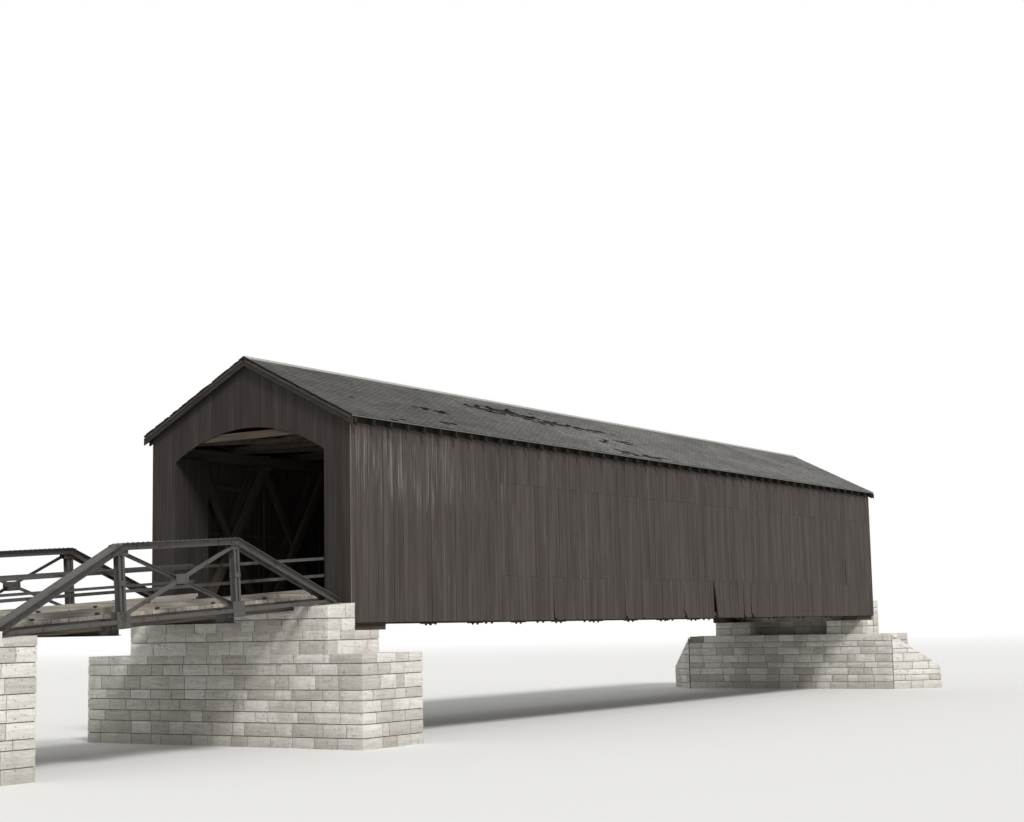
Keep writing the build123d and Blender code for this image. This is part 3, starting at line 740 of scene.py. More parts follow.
def upright_boards(node, name, seed):
    """An end wall as separate upright boards."""
    random = np.random.default_rng(seed)
    wall = merged_copy(node)
    joined = empty_joined()
    low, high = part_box(node)
    inwards = 1 if low.x < middle_x else -1
    place = low.y
    while place < high.y - SHORTEST:
        width = next_size(random, BOARD_WIDTHS, high.y - place, BOARD_WIDTHS[0])
        board = wall.copy()
        cut_away(board, (0, place + PORTAL_JOINT / 2, 0), (0, -1, 0))
        cut_away(board, (0, place + width - PORTAL_JOINT / 2, 0), (0, 1, 0))
        bmesh.ops.bevel(board, geom=board.edges[:], offset=PORTAL_EDGE, segments=1, profile=0.5,
                        affect="EDGES", material=-1, clamp_overlap=True)
        moved = inwards * random.uniform(0, PORTAL_UNEVEN)
        bmesh.ops.translate(board, verts=board.verts[:], vec=(moved, 0, 0))
        add_marked(joined, board, random)
        board.free()
        place += width
    wall.free()
    return finished_mesh(joined, name)


for node, seed in (("front_portal", 21), ("back_portal", 22)):
    show(upright_boards(node, f"{node}_boards", seed), portal_paint, "painted_boards", node)

# %% [markdown]
# ## Lined passage behind each portal
# Just inside each arch the trusses are boarded over for about a metre, so that wheels do not
# catch on them. Upright boards stand on two furring strips, which hold them off the trusses.
# They are square boards, so the stack makes them, and no wall has to be cut.

# %% Board the passage behind the portals
LINING_RUN = 1.055
LINING_DEPTH = 0.144
LINING_BOARD = 0.025
LINING_BOARDS = 5
LINING_GAP = 0.004
FURRING_WIDTH = 0.1
lining_low, lining_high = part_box("portal_linings")
lining_inner = lining_high.y - LINING_DEPTH
lining_step = LINING_RUN / LINING_BOARDS
linings = Stack(24)
for side in (-1, 1):
    board_face, board_back = sorted((side * lining_inner, side * (lining_inner + LINING_BOARD)))
    strip_face, strip_back = sorted((side * (lining_inner + LINING_BOARD), side * lining_high.y))
    for start in (lining_low.x, lining_high.x - LINING_RUN):
        for index in range(LINING_BOARDS):
            left, right = start + index * lining_step, start + (index + 1) * lining_step
            foot = lining_low.z + linings.random.uniform(0, 0.008)
            linings.add((left + LINING_GAP / 2, board_face, foot),
                        (right - LINING_GAP / 2, board_back, lining_high.z), wear=0.4)
        for left in (start, start + LINING_RUN - FURRING_WIDTH):
            linings.add((left, strip_face, lining_low.z), (left + FURRING_WIDTH, strip_back, lining_high.z))
show(linings.mesh("lining_boards", BOARD_EDGE), portal_paint, "painted_boards", "portal_linings")

# %% [markdown]
# ## Roof
# The roof is planked with rough sheathing, and small shingles are nailed over it in courses
# of about 0.1 m. Each course is shifted a little along the one below, which gives the slanting
# weave that the photograph shows. Where shingles are lost, the dark sheathing lies open.
# The roof is laid flat in its own coordinates, X along the eave and Y up the slope, and then
# tilted into place by one matrix, turned half round for the far side. That is simpler than
# working out each tilted shingle where it lies.

# %% The plane of the near slope
roof_run = roof_high.x - roof_low.x
slope_length = eave_reach / math.cos(slope_angle)
eave_height = ridge_height - eave_reach * math.tan(slope_angle)
near_slope = Matrix.Translation((roof_low.x, -eave_reach, eave_height)) @ Matrix.Rotation(slope_angle, 4, "X")
far_slope = half_turn @ near_slope
print("slope", round(math.degrees(slope_angle), 2), "degrees, length", round(slope_length, 3))

# %% Lay the sheathing
SHEATHING_DEPTH = 0.034
SHEATHING_WIDTH = 0.185
SHEATHING_LENGTHS = (3.0, 4.9)
SHEATHING_GAP = 0.001
SHEATHING_EDGE = 0.0015
SHORTEST_SHEATHING = 1.0
SHINGLE_LAYER = 0.014


def sheathing(seed):
    """Rough boards along the roof, under the shingles."""
    stack = Stack(seed)
    rows = math.ceil(slope_length / SHEATHING_WIDTH)
    width = slope_length / rows
    for row in range(rows):
        place = 0.0
        while place < roof_run - SHORTEST:
            length = next_size(stack.random, SHEATHING_LENGTHS, roof_run - place, SHORTEST_SHEATHING)
            top = -SHINGLE_LAYER - stack.random.uniform(0, 0.002)
            stack.add((place + SHEATHING_GAP / 2, row * width + SHEATHING_GAP / 2, top - SHEATHING_DEPTH),
                      (place + length - SHEATHING_GAP / 2, (row + 1) * width - SHEATHING_GAP / 2, top))
            place += length
    return stack


for side, place, seed in (("right", near_slope, 32), ("left", far_slope, 34)):
    show(sheathing(seed).mesh(f"{side}_sheathing", SHEATHING_EDGE, place), sheathing_timber, "roofing")

# %% Sizes of the shingles and places without them
SHINGLE_WIDTH = 0.2286
SHINGLE_GAP = 0.018
SHINGLE_EXPOSURE = 0.1016
COURSE_MIDDLE = 0.05
SHINGLE_SHIFT = -0.215
SHINGLE_LENGTH = 0.135
SHINGLE_THICKNESS = 0.008
SHINGLE_RAKE = -0.022
NARROWEST = 0.03
RAGGED = 0.03
LOST_ANYWHERE = 0.0012
BARE_SPREAD = 1.35
FIRM_SHARE = 0.9
SLIPS = (-0.015, 0)
CURL_REACH = 3.2
CURLED_SHARE = 0.45
CURLS = (0.05, 0.34)
CURL_LIFT = 0.055

# Bare places on the near slope: distance from the front, height up the slope, half sizes, share lost
BARE_PLACES = ((7.75, 2.33, 0.35, 0.12, 0.9), (8.9, 2.42, 0.75, 0.13, 0.95), (9.6, 2.27, 0.6, 0.12, 0.9),
               (10.7, 2.07, 0.8, 0.1, 0.95), (11.9, 2.0, 0.7, 0.08, 0.9), (13.1, 2.03, 0.5, 0.06, 0.8),
               (12.2, 1.05, 0.3, 0.06, 0.7), (13.5, 1.32, 0.35, 0.07, 0.75), (12.0, 0.3, 0.35, 0.08, 0.85),
               (12.8, 0.22, 0.4, 0.07, 0.8), (13.9, 0.17, 0.5, 0.07, 0.8), (4.1, 1.49, 0.2, 0.05, 0.8),
               (4.7, 1.27, 0.2, 0.05, 0.8), (3.9, 0.39, 0.22, 0.05, 0.8), (1.6, 0.12, 0.2, 0.05, 0.7))


# %% Lay the shingles
def nearest_bare_place(along, up, bare_places):
    """How far off the nearest bare place is, with 1 at its edge, and the share that is lost in it."""
    return min(((((along - middle) / half_run) ** 2 + ((up - height) / (half_rise * BARE_SPREAD)) ** 2, share)
                for middle, height, half_run, half_rise, share in bare_places), default=(math.inf, 0.0))


def shingles(seed, bare_places):
    """Courses of shingles, with lost ones in the bare places and curled ones round them."""
    stack = Stack(seed)
    random = stack.random
    tilt = math.atan2(SHINGLE_THICKNESS, SHINGLE_EXPOSURE) * 0.9
    for course in range(int(slope_length / SHINGLE_EXPOSURE)):
        low = course * SHINGLE_EXPOSURE
        high = min(low + SHINGLE_LENGTH, slope_length - 0.02)
        place = (SHINGLE_SHIFT * course) % 1 * SHINGLE_WIDTH - SHINGLE_WIDTH
        front_edge, back_edge = -random.uniform(0, RAGGED), roof_run + random.uniform(0, RAGGED)
        while place < roof_run:
            left = max(place + SHINGLE_GAP / 2, front_edge)
            right = min(place + SHINGLE_WIDTH - SHINGLE_GAP / 2, back_edge)
            from_front = (left + right) / 2 + roof_low.x - front_face
            away, share = nearest_bare_place(from_front, low + COURSE_MIDDLE, bare_places)
            gone = random.random() < (share if away < 1 else LOST_ANYWHERE)
            if right - left > NARROWEST and not gone:
                slip = random.normal(0, 0.003) if random.random() < FIRM_SHARE else random.uniform(*SLIPS)
                slip = max(slip, -low)
                curled = away < CURL_REACH and random.random() < CURLED_SHARE
                curl = random.uniform(*CURLS) if curled else 0.0
                skew = random.normal(0, 0.1 if curled else 0.006)
                middle = -SHINGLE_LAYER / 2 - 0.001 + curl * CURL_LIFT
                stack.add((left, low + slip, middle - SHINGLE_THICKNESS / 2),
                          (right, high + slip, middle + SHINGLE_THICKNESS / 2),
                          turns=(-tilt - curl, SHINGLE_RAKE, skew), wear=random.random())
            place += SHINGLE_WIDTH
    return stack


for side, place, seed, bare_places in (("right", near_slope, 31, BARE_PLACES), ("left", far_slope, 33, ())):
    laid = shingles(seed, bare_places)
    show(laid.mesh(f"{side}_shingles", 0, place), shingle_face, "roofing", f"{side}_roof")
    print(side, "shingles", len(laid.rows))

# %% [markdown]
# ## Metal strip along the eaves
# A thin folded strip under the lowest shingles leads the rain off the roof boards. It is made in
# lengths, and each sags a little, so the line of the eave isn't quite straight. Thin boxes in the
# roof's own coordinates do for it, as its fold can't be seen.

# %% Drip strips
DRIP_LENGTH = 3.05
DRIP_DROP = 0.022
DRIP_THICKNESS = 0.002
DRIP_SAG = 0.004
for side, place, seed in (("right", near_slope, 36), ("left", far_slope, 37)):
    drip = Stack(seed)
    start = 0.0
    while start < roof_run - SHORTEST:
        foot = -SHINGLE_LAYER - DRIP_DROP - drip.random.uniform(0, DRIP_SAG)
        drip.add((start + 0.001, -DRIP_THICKNESS, foot),
                 (min(start + DRIP_LENGTH, roof_run), 0.0, -SHINGLE_LAYER - 0.001))
        start += DRIP_LENGTH
    show(drip.mesh(f"{side}_drip_edge", 0, place), drip_metal, "roofing")

# %% [markdown]
# ## Trim up the gables
# A narrow board runs up each gable at the top of the barge board and covers the ends of the roof
# boards. Each slope has two lengths of it, butted halfway. They are laid in the roof's own
# coordinates too, so they follow the slope without a sum of their own.

# %% Rake trim
RAKE_TRIM_DEPTH = 0.048
RAKE_TRIM_THICKNESS = 0.012
RAKE_TRIM_PIECES = 2
RAKE_TRIM_GAP = 0.003
rake_piece = (slope_length - 0.004) / RAKE_TRIM_PIECES
rake_top = -SHINGLE_LAYER - SHEATHING_DEPTH - 0.004
for index, place in enumerate((near_slope, far_slope)):
    rake = Stack(38 + index)
    for start in (-RAKE_TRIM_THICKNESS, roof_run):
        for piece in range(RAKE_TRIM_PIECES):
            low, high = rake_piece * piece, rake_piece * (piece + 1) - RAKE_TRIM_GAP
            rake.add((start, low, rake_top - RAKE_TRIM_DEPTH),
                     (start + RAKE_TRIM_THICKNESS, high, rake_top), wear=0.8)
    show(rake.mesh(f"rake_trim_{index}", STRIP_EDGE, place), trim_paint, "painted_boards")

# %% [markdown]
# ## Planks and wheel tracks
# Wheels roll on two tracks of long planks laid over short cross planks. The approach has cross
# planks only. An array would give planks that all end in one line, so one function divides a
# floor into planks, cuts them to their own lengths and lowers each by a small draw of its own.

# %% Lay the covered floor
PLANK_WIDTH = 0.22
PLANK_EDGE = 0.003
TRACK_WIDTH = 0.75
TRACK_PLANK_WIDTH = 0.25
TRACK_PLANK_LENGTH = 4.2
SHORTEST_PLANK = 0.6
PLANK_LENGTH_SPREAD = (0.7, 1.2)


def planks(low, high, axis, width, seed, piece_length=None, gap=0.004, uneven=0.003, ragged=0.0):
    """Planks side by side along one axis, cut to lengths along the other."""
    stack = Stack(seed)
    random = stack.random
    other = 1 - axis
    count = max(1, round((high[axis] - low[axis]) / width))
    step = (high[axis] - low[axis]) / count
    for index in range(count):
        start = low[other]
        while start < high[other] - SHORTEST:
            left_over = high[other] - start
            length = random.uniform(*PLANK_LENGTH_SPREAD) * piece_length if piece_length else left_over
            if left_over - length < SHORTEST_PLANK:
                length = left_over
            near = [0.0, 0.0, low[2]]
            far = [0.0, 0.0, high[2] - random.uniform(0, uneven)]
            near[axis] = low[axis] + index * step + gap / 2
            far[axis] = low[axis] + (index + 1) * step - gap / 2
            near[other] = start + gap / 4 + random.uniform(0, ragged)
            far[other] = start + length - gap / 4 - random.uniform(0, ragged)
            stack.add(near, far, wear=random.random())
            start += length
    return stack


deck = planks(*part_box("floor_planks"), 0, PLANK_WIDTH, 41)
show(deck.mesh("floor_boards", PLANK_EDGE), covered_floor, "deck_timber", "floor_planks")
runner_low, runner_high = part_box("wheel_runners")
tracks = Stack(42)
for side in (-1, 1):
    inner, outer = sorted((side * (runner_high.y - TRACK_WIDTH), side * runner_high.y))
    tracks.rows += planks((runner_low.x, inner, runner_low.z), (runner_high.x, outer, runner_high.z),
                          1, TRACK_PLANK_WIDTH, 43 + side, piece_length=TRACK_PLANK_LENGTH).rows
show(tracks.mesh("wheel_tracks", PLANK_EDGE), covered_track, "deck_timber", "wheel_runners")
print("planks:", len(deck.rows), "track planks:", len(tracks.rows))

# %% [markdown]
# ## The sloping approach
# The steel span climbs by 6.5% towards the front portal. Its planks, rivets and bolts are laid
# level in coordinates of their own, with the origin where the approach ends before the portal,
# and one matrix then tilts them with the steel. Its numbers are the ones of the steel itself.

# %% The approach and its planks
APPROACH_GAP = 0.1
APPROACH_OFFSET = 0.216
APPROACH_GRADE = 0.065
APPROACH_HEIGHT = 0.430
APPROACH_LENGTH = 9.0
DECK_FOOT, DECK_TOP = 0.095, 0.170
DECK_HALF_WIDTH = 1.85
DECK_OVERRUN = 0.08
DECK_PLANK_WIDTH = 0.2
DECK_EDGE = 0.004
approach_frame = (Matrix.Translation((front_face - APPROACH_GAP, -APPROACH_OFFSET, sill + APPROACH_HEIGHT))
                  @ Matrix.Rotation(-math.atan(APPROACH_GRADE), 4, "Y"))
deck_low = (-APPROACH_LENGTH, -DECK_HALF_WIDTH, DECK_FOOT)
deck_high = (DECK_OVERRUN, DECK_HALF_WIDTH, DECK_TOP)
approach_deck = planks(deck_low, deck_high, 0, DECK_PLANK_WIDTH, 45, gap=0.01, uneven=0.006, ragged=0.025)
show(approach_deck.mesh("approach_boards", DECK_EDGE, approach_frame),
     deck_across, "deck_timber", "approach_planks")
print("approach planks:", len(approach_deck.rows))

# %% [markdown]
# ## Rivets
# The steel trusses are built up from plates and angles, and every lap is riveted. A rivet head
# is a low dome. Whole balls would hide half their faces in the steel, so one dome is cut from a
# sphere with bmesh, and its copies are placed along the lines where plates lap: beside each
# post, on the corner plates and along both edges of the cover plate.

# %% One dome, many places
def dome_pattern(segments, rings):
    """Upper half of a ball of radius 1, closed below."""
    bm = bmesh.new()
    bm.faces.layers.int.new("own")
    bmesh.ops.create_uvsphere(bm, u_segments=segments, v_segments=2 * rings, radius=1)
    cut_away(bm, (0, 0, 0), (0, 0, -1))
    corners, faces = corners_and_faces(bm)
    # Blender lists a sphere's faces in another order on each run, so they are put in one order here
    starts = [face.index(min(face)) for face in faces]
    return corners, sorted(face[start:] + face[:start] for face, start in zip(faces, starts))


def domes(name, places, radius, height, segments=8, rings=2, place=None):
    """Domes at each place (a point and the way it faces), as one mesh."""
    corners, faces = dome_pattern(segments, rings)
    corners = corners * (radius, radius, height)
    turns, points = {}, []
    for point, facing in places:
        key = tuple(round(value, 4) for value in facing)
        if key not in turns:
            turn = np.array(Vector(facing).to_track_quat("Z", "X").to_matrix())
            turns[key] = corners @ turn.T
        points.append(turns[key] + np.array(point))
    marks = np.random.default_rng(len(points)).random((len(points), 3))
    print(name, "domes", len(points))
    return joined_mesh(name, np.array(points), faces, marks, place)


# %% Rivet lines of the pony trusses, with Y = 0 in the middle of the truss
PANEL = 3.0
TRUSS_HEIGHT = 1.43
CHORD_FOOT = 0.075
TRUSS_OFFSET = 2.3
WEB_FACE = 0.085
PLATE_FACE = 0.075
COVER_EDGE = 0.118
COVER_STEP = 0.13
END_MARGIN = 0.1
WEB_STEP = 0.075
WEB_STEPS = 5
WEB_DROPS = (0.045, 0.098)
RIVET_RADIUS = 0.0145
RIVET_HEIGHT = 0.011
post_places = (-2 * PANEL, -PANEL)
chord_path = [Vector((-3 * PANEL, 0, CHORD_FOOT)), Vector((-2 * PANEL, 0, TRUSS_HEIGHT)),
              Vector((-PANEL, 0, TRUSS_HEIGHT)), Vector((0, 0, CHORD_FOOT))]

# Groups of rivets on flat plates: steps along the truss, and heights
POST_GROUPS = (((-0.125, -0.045, 0.045, 0.125), (-0.06, 0.02, 0.055)), ((-0.045, 0.045), (0.11, 0.15, 0.19)),
               ((-0.045, 0.045), (0.69, 0.74)), ((-0.12, -0.045, 0.045, 0.12), (1.235, 1.275)))
CROSSING_GROUP = ((-0.13, -0.07, 0.07, 0.13), (0.665, 0.775))
END_GROUP = ((0.08, 0.16, 0.24, 0.32, 0.4), (0.03,))


def chord_rivets(start, end):
    """Rivets on one length of the top chord: along its cover plate and near both ends of its webs."""
    along = (end - start).normalized()
    outward = Vector((-along.z, 0, along.x))
    length = (end - start).length
    count = round((length - 2 * END_MARGIN) / COVER_STEP)
    places = []
    for index in range(count + 1):
        point = start + along * (END_MARGIN + (length - 2 * END_MARGIN) * index / count)
        places += [(point + Vector((0, side, 0)), outward) for side in (-COVER_EDGE, COVER_EDGE)]
    steps = [END_MARGIN + WEB_STEP * index for index in range(WEB_STEPS)]
    for step in steps + [length - step for step in steps]:
        for drop in WEB_DROPS:
            point = start + along * step - outward * drop
            places += [(point + Vector((0, side * WEB_FACE, 0)), Vector((0, side, 0))) for side in (-1, 1)]
    return places


def plate_rivets():
    """Rivets on the plates at the posts, at the crossing of the diagonals and at both ends."""
    groups = [(post, 1, group) for post in post_places for group in POST_GROUPS]
    groups.append((sum(post_places) / 2, 1, CROSSING_GROUP))
    groups += [(0, -1, END_GROUP), (-3 * PANEL, 1, END_GROUP)]
    points = [(start + direction * step, height) for start, direction, (steps, heights) in groups
              for step in steps for height in heights]
    return [(Vector((x, side * PLATE_FACE, z)), Vector((0, side, 0))) for x, z in points for side in (-1, 1)]


truss_rivets = [rivet for start, end in zip(chord_path, chord_path[1:]) for rivet in chord_rivets(start, end)]
truss_rivets += plate_rivets()
both_trusses = [(point + Vector((0, side * TRUSS_OFFSET, 0)), facing)
                for side in (-1, 1) for point, facing in truss_rivets]
show(domes("truss_rivets", both_trusses, RIVET_RADIUS, RIVET_HEIGHT, place=approach_frame),
     bridge_steel, "bridge_steel")

# %% [markdown]
# ## Splice plates
# Where the top chord bends, over each post, a plate on both sides of it holds the two lengths
# together, with three rows of rivets. The plates are the same worn box as the boards, laid in
# the coordinates of the approach.

# %% Splice plates over the bends of the top chord
SPLICE_HALF = 0.15
SPLICE_TOP, SPLICE_FOOT = 0.02, 0.122
SPLICE_FACE = WEB_FACE + 0.01
SPLICE_STEPS = (-0.13, -0.09, -0.05, 0.0, 0.05, 0.09, 0.13)
SPLICE_ROWS = (0.04, 0.071, 0.102)
SPLICE_EDGE = 0.002
splices = Stack(46)
for side in (-1, 1):
    for post in post_places:
        for face in (-1, 1):
            inner, outer = sorted(side * TRUSS_OFFSET + face * reach for reach in (WEB_FACE, SPLICE_FACE))
            splices.add((post - SPLICE_HALF, inner, TRUSS_HEIGHT - SPLICE_FOOT),
                        (post + SPLICE_HALF, outer, TRUSS_HEIGHT - SPLICE_TOP))
splice_rivets = [(Vector((post + step, side * TRUSS_OFFSET + face * SPLICE_FACE, TRUSS_HEIGHT - row)),
                  Vector((0, face, 0)))
                 for side in (-1, 1) for face in (-1, 1) for post in post_places
                 for step in SPLICE_STEPS for row in SPLICE_ROWS]
show(splices.mesh("splice_plates", SPLICE_EDGE, approach_frame), bridge_steel, "bridge_steel")
show(domes("splice_rivets", splice_rivets, RIVET_RADIUS, RIVET_HEIGHT, place=approach_frame),
     bridge_steel, "bridge_steel")

# %% [markdown]
# ## Nails and bolts
# Two nails hold each siding board at each nailer, and their rusty heads just show. Bolts hold
# the curbs of the approach down. Both are the rivet's dome at other sizes. The places of the
# nails are read from the boards that were laid on the right side. The left side takes the same
# places, turned half round, so there they don't follow its own boards.

# %% Nails in the siding
NAIL_HEIGHTS = (0.16, 0.99, 1.11, 2.2, 3.19, 3.31, 4.05)
NAIL_MARGIN = 0.03
NAIL_RADIUS = 0.0055
NAIL_HEAD = 0.0025
STRAIGHT = 0.008
NAILED_WIDTH = 0.08
nail_places = []
for row in right_boards.rows:
    low, high, lean = row[:3], row[3:6], row[7]
    if abs(lean) <= STRAIGHT and high[0] - low[0] > NAILED_WIDTH:
        heights = [sill + height for height in NAIL_HEIGHTS]
        nail_places += [(Vector((x, low[1], z)), Vector((0, -1, 0)))
                        for z in heights if low[2] + NAIL_MARGIN < z < high[2] - NAIL_MARGIN
                        for x in (low[0] + NAIL_MARGIN, high[0] - NAIL_MARGIN)]
for side, place in (("right", None), ("left", half_turn)):
    show(domes(f"{side}_nails", nail_places, NAIL_RADIUS, NAIL_HEAD, segments=6, rings=1, place=place),
         nail_iron, "rod_iron")

# %% Bolts through the curbs
CURB_MIDDLE = 1.625
CURB_TOP = 0.29
FIRST_BOLT = -0.35
BOLT_STEP = 1.038
BOLTS_EACH_SIDE = 9
BOLT_RADIUS = 0.022
BOLT_HEAD = 0.012
bolt_places = [(Vector((FIRST_BOLT - BOLT_STEP * index, side * CURB_MIDDLE, CURB_TOP)), Vector((0, 0, 1)))
               for index in range(BOLTS_EACH_SIDE) for side in (-1, 1)]
show(domes("curb_bolts", bolt_places, BOLT_RADIUS, BOLT_HEAD, place=approach_frame), nail_iron, "rod_iron")

# %% [markdown]
# ## Masonry
# The supports are pale limestone laid in rough courses. Stones could be laid one by one, but
# they would have to be fitted to every slope and step. So each mass in the frame is cut into
# courses and then into stones by planes, and slopes and steps stay as they are. Stones are then
# worked back from the true faces: the edges most, the middle least, as a mason leaves a rock
# face. Behind the open joints stands a core of mortar, set in a little from the stone.

# %% Where a mass is cut
JOINT = 0.018
STEP_SLACK = 0.0006
STEP_MARGIN = 0.05
SQUARE = 0.999


def extent(bm, axis):
    """The lowest and highest place of a mesh along one axis."""
    values = [v.co[axis] for v in bm.verts]
    return min(values), max(values)


def plane_across(axis, place, sign=1):
    """A point and a direction for a plane across one axis."""
    point, normal = [0, 0, 0], [0, 0, 0]
    point[axis] = place
    normal[axis] = sign
    return point, normal


def seams(random, own_places, step, spread):
    """Uneven places about one step apart, with the mass's own steps among them."""
    places = [own_places[0]]
    for low, high in zip(own_places, own_places[1:]):
        count = max(1, round((high - low) / step))
        for index in range(1, count):
            places.append(low + (high - low) * index / count + random.uniform(-spread, spread) * step)
        places.append(high)
    return places


def own_steps(bm, axis):
    """Where the mass steps along this axis, each with the side on which it is cut."""
    low, high = extent(bm, axis)
    own = bm.faces.layers.int["own"]
    steps = {}
    for face in bm.faces:
        place = face.calc_center_median()[axis]
        across = face[own] and abs(face.normal[axis]) > SQUARE
        if across and low + STEP_MARGIN < place < high - STEP_MARGIN:
            steps[round(place, 4)] = math.copysign(STEP_SLACK, face.normal[axis])
    return steps


def pieces_along(bm, axis, step, spread, random):
    """The mass cut across one axis, with open joints except at its own steps."""
    bm.normal_update()
    low, high = extent(bm, axis)
    steps = own_steps(bm, axis)
    places = seams(random, [low, *sorted(steps), high], step, spread)
    for start, end in zip(places, places[1:]):
        piece = bm.copy()
        for place, sign in ((start, -1), (end, 1)):
            if low < place < high:
                cut = place + steps[place] if place in steps else place - sign * JOINT / 2
                cut_away(piece, *plane_across(axis, cut, sign))
        if piece.faces:
            yield piece
        else:
            piece.free()


# %% How a stone is worked
FACE_STEP = 0.1
FACE_WAVES = (4.5, 15.0)
EDGE_DROP, EDGE_ROUGHNESS = 0.02, 0.012
FACE_DROP, FACE_ROUGHNESS = 0.004, 0.03
LEVEL = 0.99
ONE_FACE = 0.95


def divide(stone):
    """Cuts the faces of a stone about every FACE_STEP, so that they can be worked."""
    for axis in range(3):
        low, high = extent(stone, axis)
        count = max(1, round((high - low) / FACE_STEP))
        for index in range(1, count):
            point, normal = plane_across(axis, low + (high - low) * index / count)
            bmesh.ops.bisect_plane(stone, geom=stone.verts[:] + stone.edges[:] + stone.faces[:],
                                   plane_co=point, plane_no=normal, dist=0.000001)


def work_the_face(stone, shift):
    """Draws the seen faces of one stone inwards, its edges most. Says if it has an outer face."""
    divide(stone)
    stone.normal_update()
    own = stone.faces.layers.int["own"]
    kinds = {face: "joint" if not face[own] else "level" if abs(face.normal.z) > LEVEL else "seen"
             for face in stone.faces}
    moves = []
    for vert in stone.verts:
        normals = []
        for face in vert.link_faces:
            if kinds[face] == "seen" and all(face.normal.dot(other) < ONE_FACE for other in normals):
                normals.append(face.normal.copy())
        at_edge = len(normals) > 1 or any(kinds[face] != "seen" for face in vert.link_faces)
        rough, fine = (noise.noise((vert.co + shift) * waves) * 0.5 + 0.5 for waves in FACE_WAVES)
        drop = EDGE_DROP + EDGE_ROUGHNESS * rough if at_edge else FACE_DROP + FACE_ROUGHNESS * rough * fine
        moves.append((vert, sum((-normal * drop for normal in normals), Vector())))
    for vert, move in moves:
        vert.co += move
    return any(kind != "joint" for kind in kinds.values())


# %% Cut a mass into stones, and its core
LOST_STONE = (back_face - 1.1, 3.5, 1.7)
CORE_INSET = 0.044
CORE_TOP_INSET = 0.008
COURSE_SPREAD, STONE_SPREAD = 0.2, 0.3
SHIFT_RANGE = 40


def add_stones(joined, node, seed, course, length, depth, turn=None, side=None):
    """Adds a mass, or one side of it, as separate stones cut along its own directions."""
    random = np.random.default_rng(seed)
    mass = merged_copy(node)
    if side:
        cut_away(mass, (0, 0, 0), (0, -side, 0))
    turn = turn or Matrix.Identity(4)
    bmesh.ops.transform(mass, matrix=turn.inverted(), verts=mass.verts[:])
    for row in pieces_along(mass, 2, course, COURSE_SPREAD, random):
        for slab in pieces_along(row, 1, length, STONE_SPREAD, random):
            for stone in pieces_along(slab, 0, depth, STONE_SPREAD, random):
                shift = Vector(random.uniform(-SHIFT_RANGE, SHIFT_RANGE, 3))
                spans = zip(LOST_STONE, (extent(stone, axis) for axis in range(3)))
                lost = all(low < place < high for place, (low, high) in spans)
                if not lost and work_the_face(stone, shift):
                    bmesh.ops.transform(stone, matrix=turn, verts=stone.verts[:])
                    add_marked(joined, stone, random)
                stone.free()
            slab.free()
        row.free()
    mass.free()


def mortar_core(node, name):
    """The same mass drawn in from its faces, but not from the ground."""
    core = merged_copy(node)
    core.normal_update()
    moves = []
    for vert in core.verts:
        normals, depths = [], []
        for face in vert.link_faces:
            if all(face.normal.dot(other) < LEVEL for other in normals):
                level_inset = CORE_TOP_INSET if face.normal.z > 0 else 0.0
                normals.append(face.normal.copy())
                depths.append(CORE_INSET if abs(face.normal.z) < LEVEL else level_inset)
        sides = np.array([list(normal) for normal in normals])
        moves.append((vert, Vector(np.linalg.lstsq(sides, -np.array(depths), rcond=None)[0])))
    for vert, move in moves:
        vert.co += move
    return finished_mesh(core, name)


# %% Lay the supports
COURSE = 0.25
WING_TURN = math.radians(45)
WING_STONES = (0.5, 0.6)

# Seed, length and depth of the stones of each mass
MASSES = {"river_pier": (61, 0.62, 0.55), "back_abutment": (62, 0.6, 0.55),
          "approach_abutment": (63, 0.6, 0.5)}
for node, (seed, length, depth) in MASSES.items():
    laid = empty_joined()
    add_stones(laid, node, seed, COURSE, length, depth)
    show(finished_mesh(laid, f"{node}_stones"), limestone, "masonry", node)
    show(mortar_core(node, f"{node}_mortar"), mortar, "masonry")
wings = empty_joined()
for side, seed in ((-1, 64), (1, 65)):
    turn = Matrix.Rotation(side * WING_TURN, 4, "Z")
    add_stones(wings, "wing_walls", seed, COURSE, *WING_STONES, turn, side)
show(finished_mesh(wings, "wing_wall_stones"), limestone, "masonry", "wing_walls")
show(mortar_core("wing_walls", "wing_wall_mortar"), mortar, "masonry")

# %% [markdown]
# ## Other nodes of the frame
# The pieces that already have their true shape stay as they are and only get a finish. Trusses,
# beams and rafters are heavy square timbers that need no more than their grain, and the grain
# has to run along each of them, so the finishes are given by kind and direction.

# %% Give the frame's own pieces their finishes
FINISHES = {
    timber_along: ("lower_chord", "upper_chord", "nailers", "wall_plates", "bolsters", "approach_stringers"),
    timber_across: ("floor_beams", "tie_beams", "angle_blocks"),
    timber_upright: ("end_posts",),
    timber_crossed: ("lower_laterals", "upper_laterals"),
    brace_timber: ("braces",),
    counter_timber: ("counters",),
    rafter_timber: ("rafters",),
    barge_paint: ("barge_boards",),
    rod_iron: ("rods",),
    bridge_steel: ("pony_truss", "approach_beams", "guard_rails"),
    ridge_metal: ("ridge_cap",),
    deck_along: ("approach_curbs",),
}
finished = []
for finish, kinds in FINISHES.items():
    for node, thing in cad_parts.items():
        kind = node.replace("left_", "").replace("right_", "")
        if kind in kinds and not thing.hide_render:
            thing.data.materials.clear()
            thing.data.materials.append(finish)
            finished.append(node)
print("nodes with a finish:", len(finished))

# %% [markdown]
# ## Studio floor and sky
# The floor is a large pale plane that fades to white far off, so no horizon shows, and a white
# sky fills the shade. A sky bright enough to look white would also light the bridge too much,
# so both are white only where the camera, a mirror or glass sees them.

# %% Floor and sky
FLOOR_SIZE = 900.0
FADE_FROM, FADE_TO = 45, 220
SKY_FILL = 0.52
FLOOR_COLOUR = (0.8, 0.8, 0.79, 1)
WHITE = (1, 1, 1, 1)


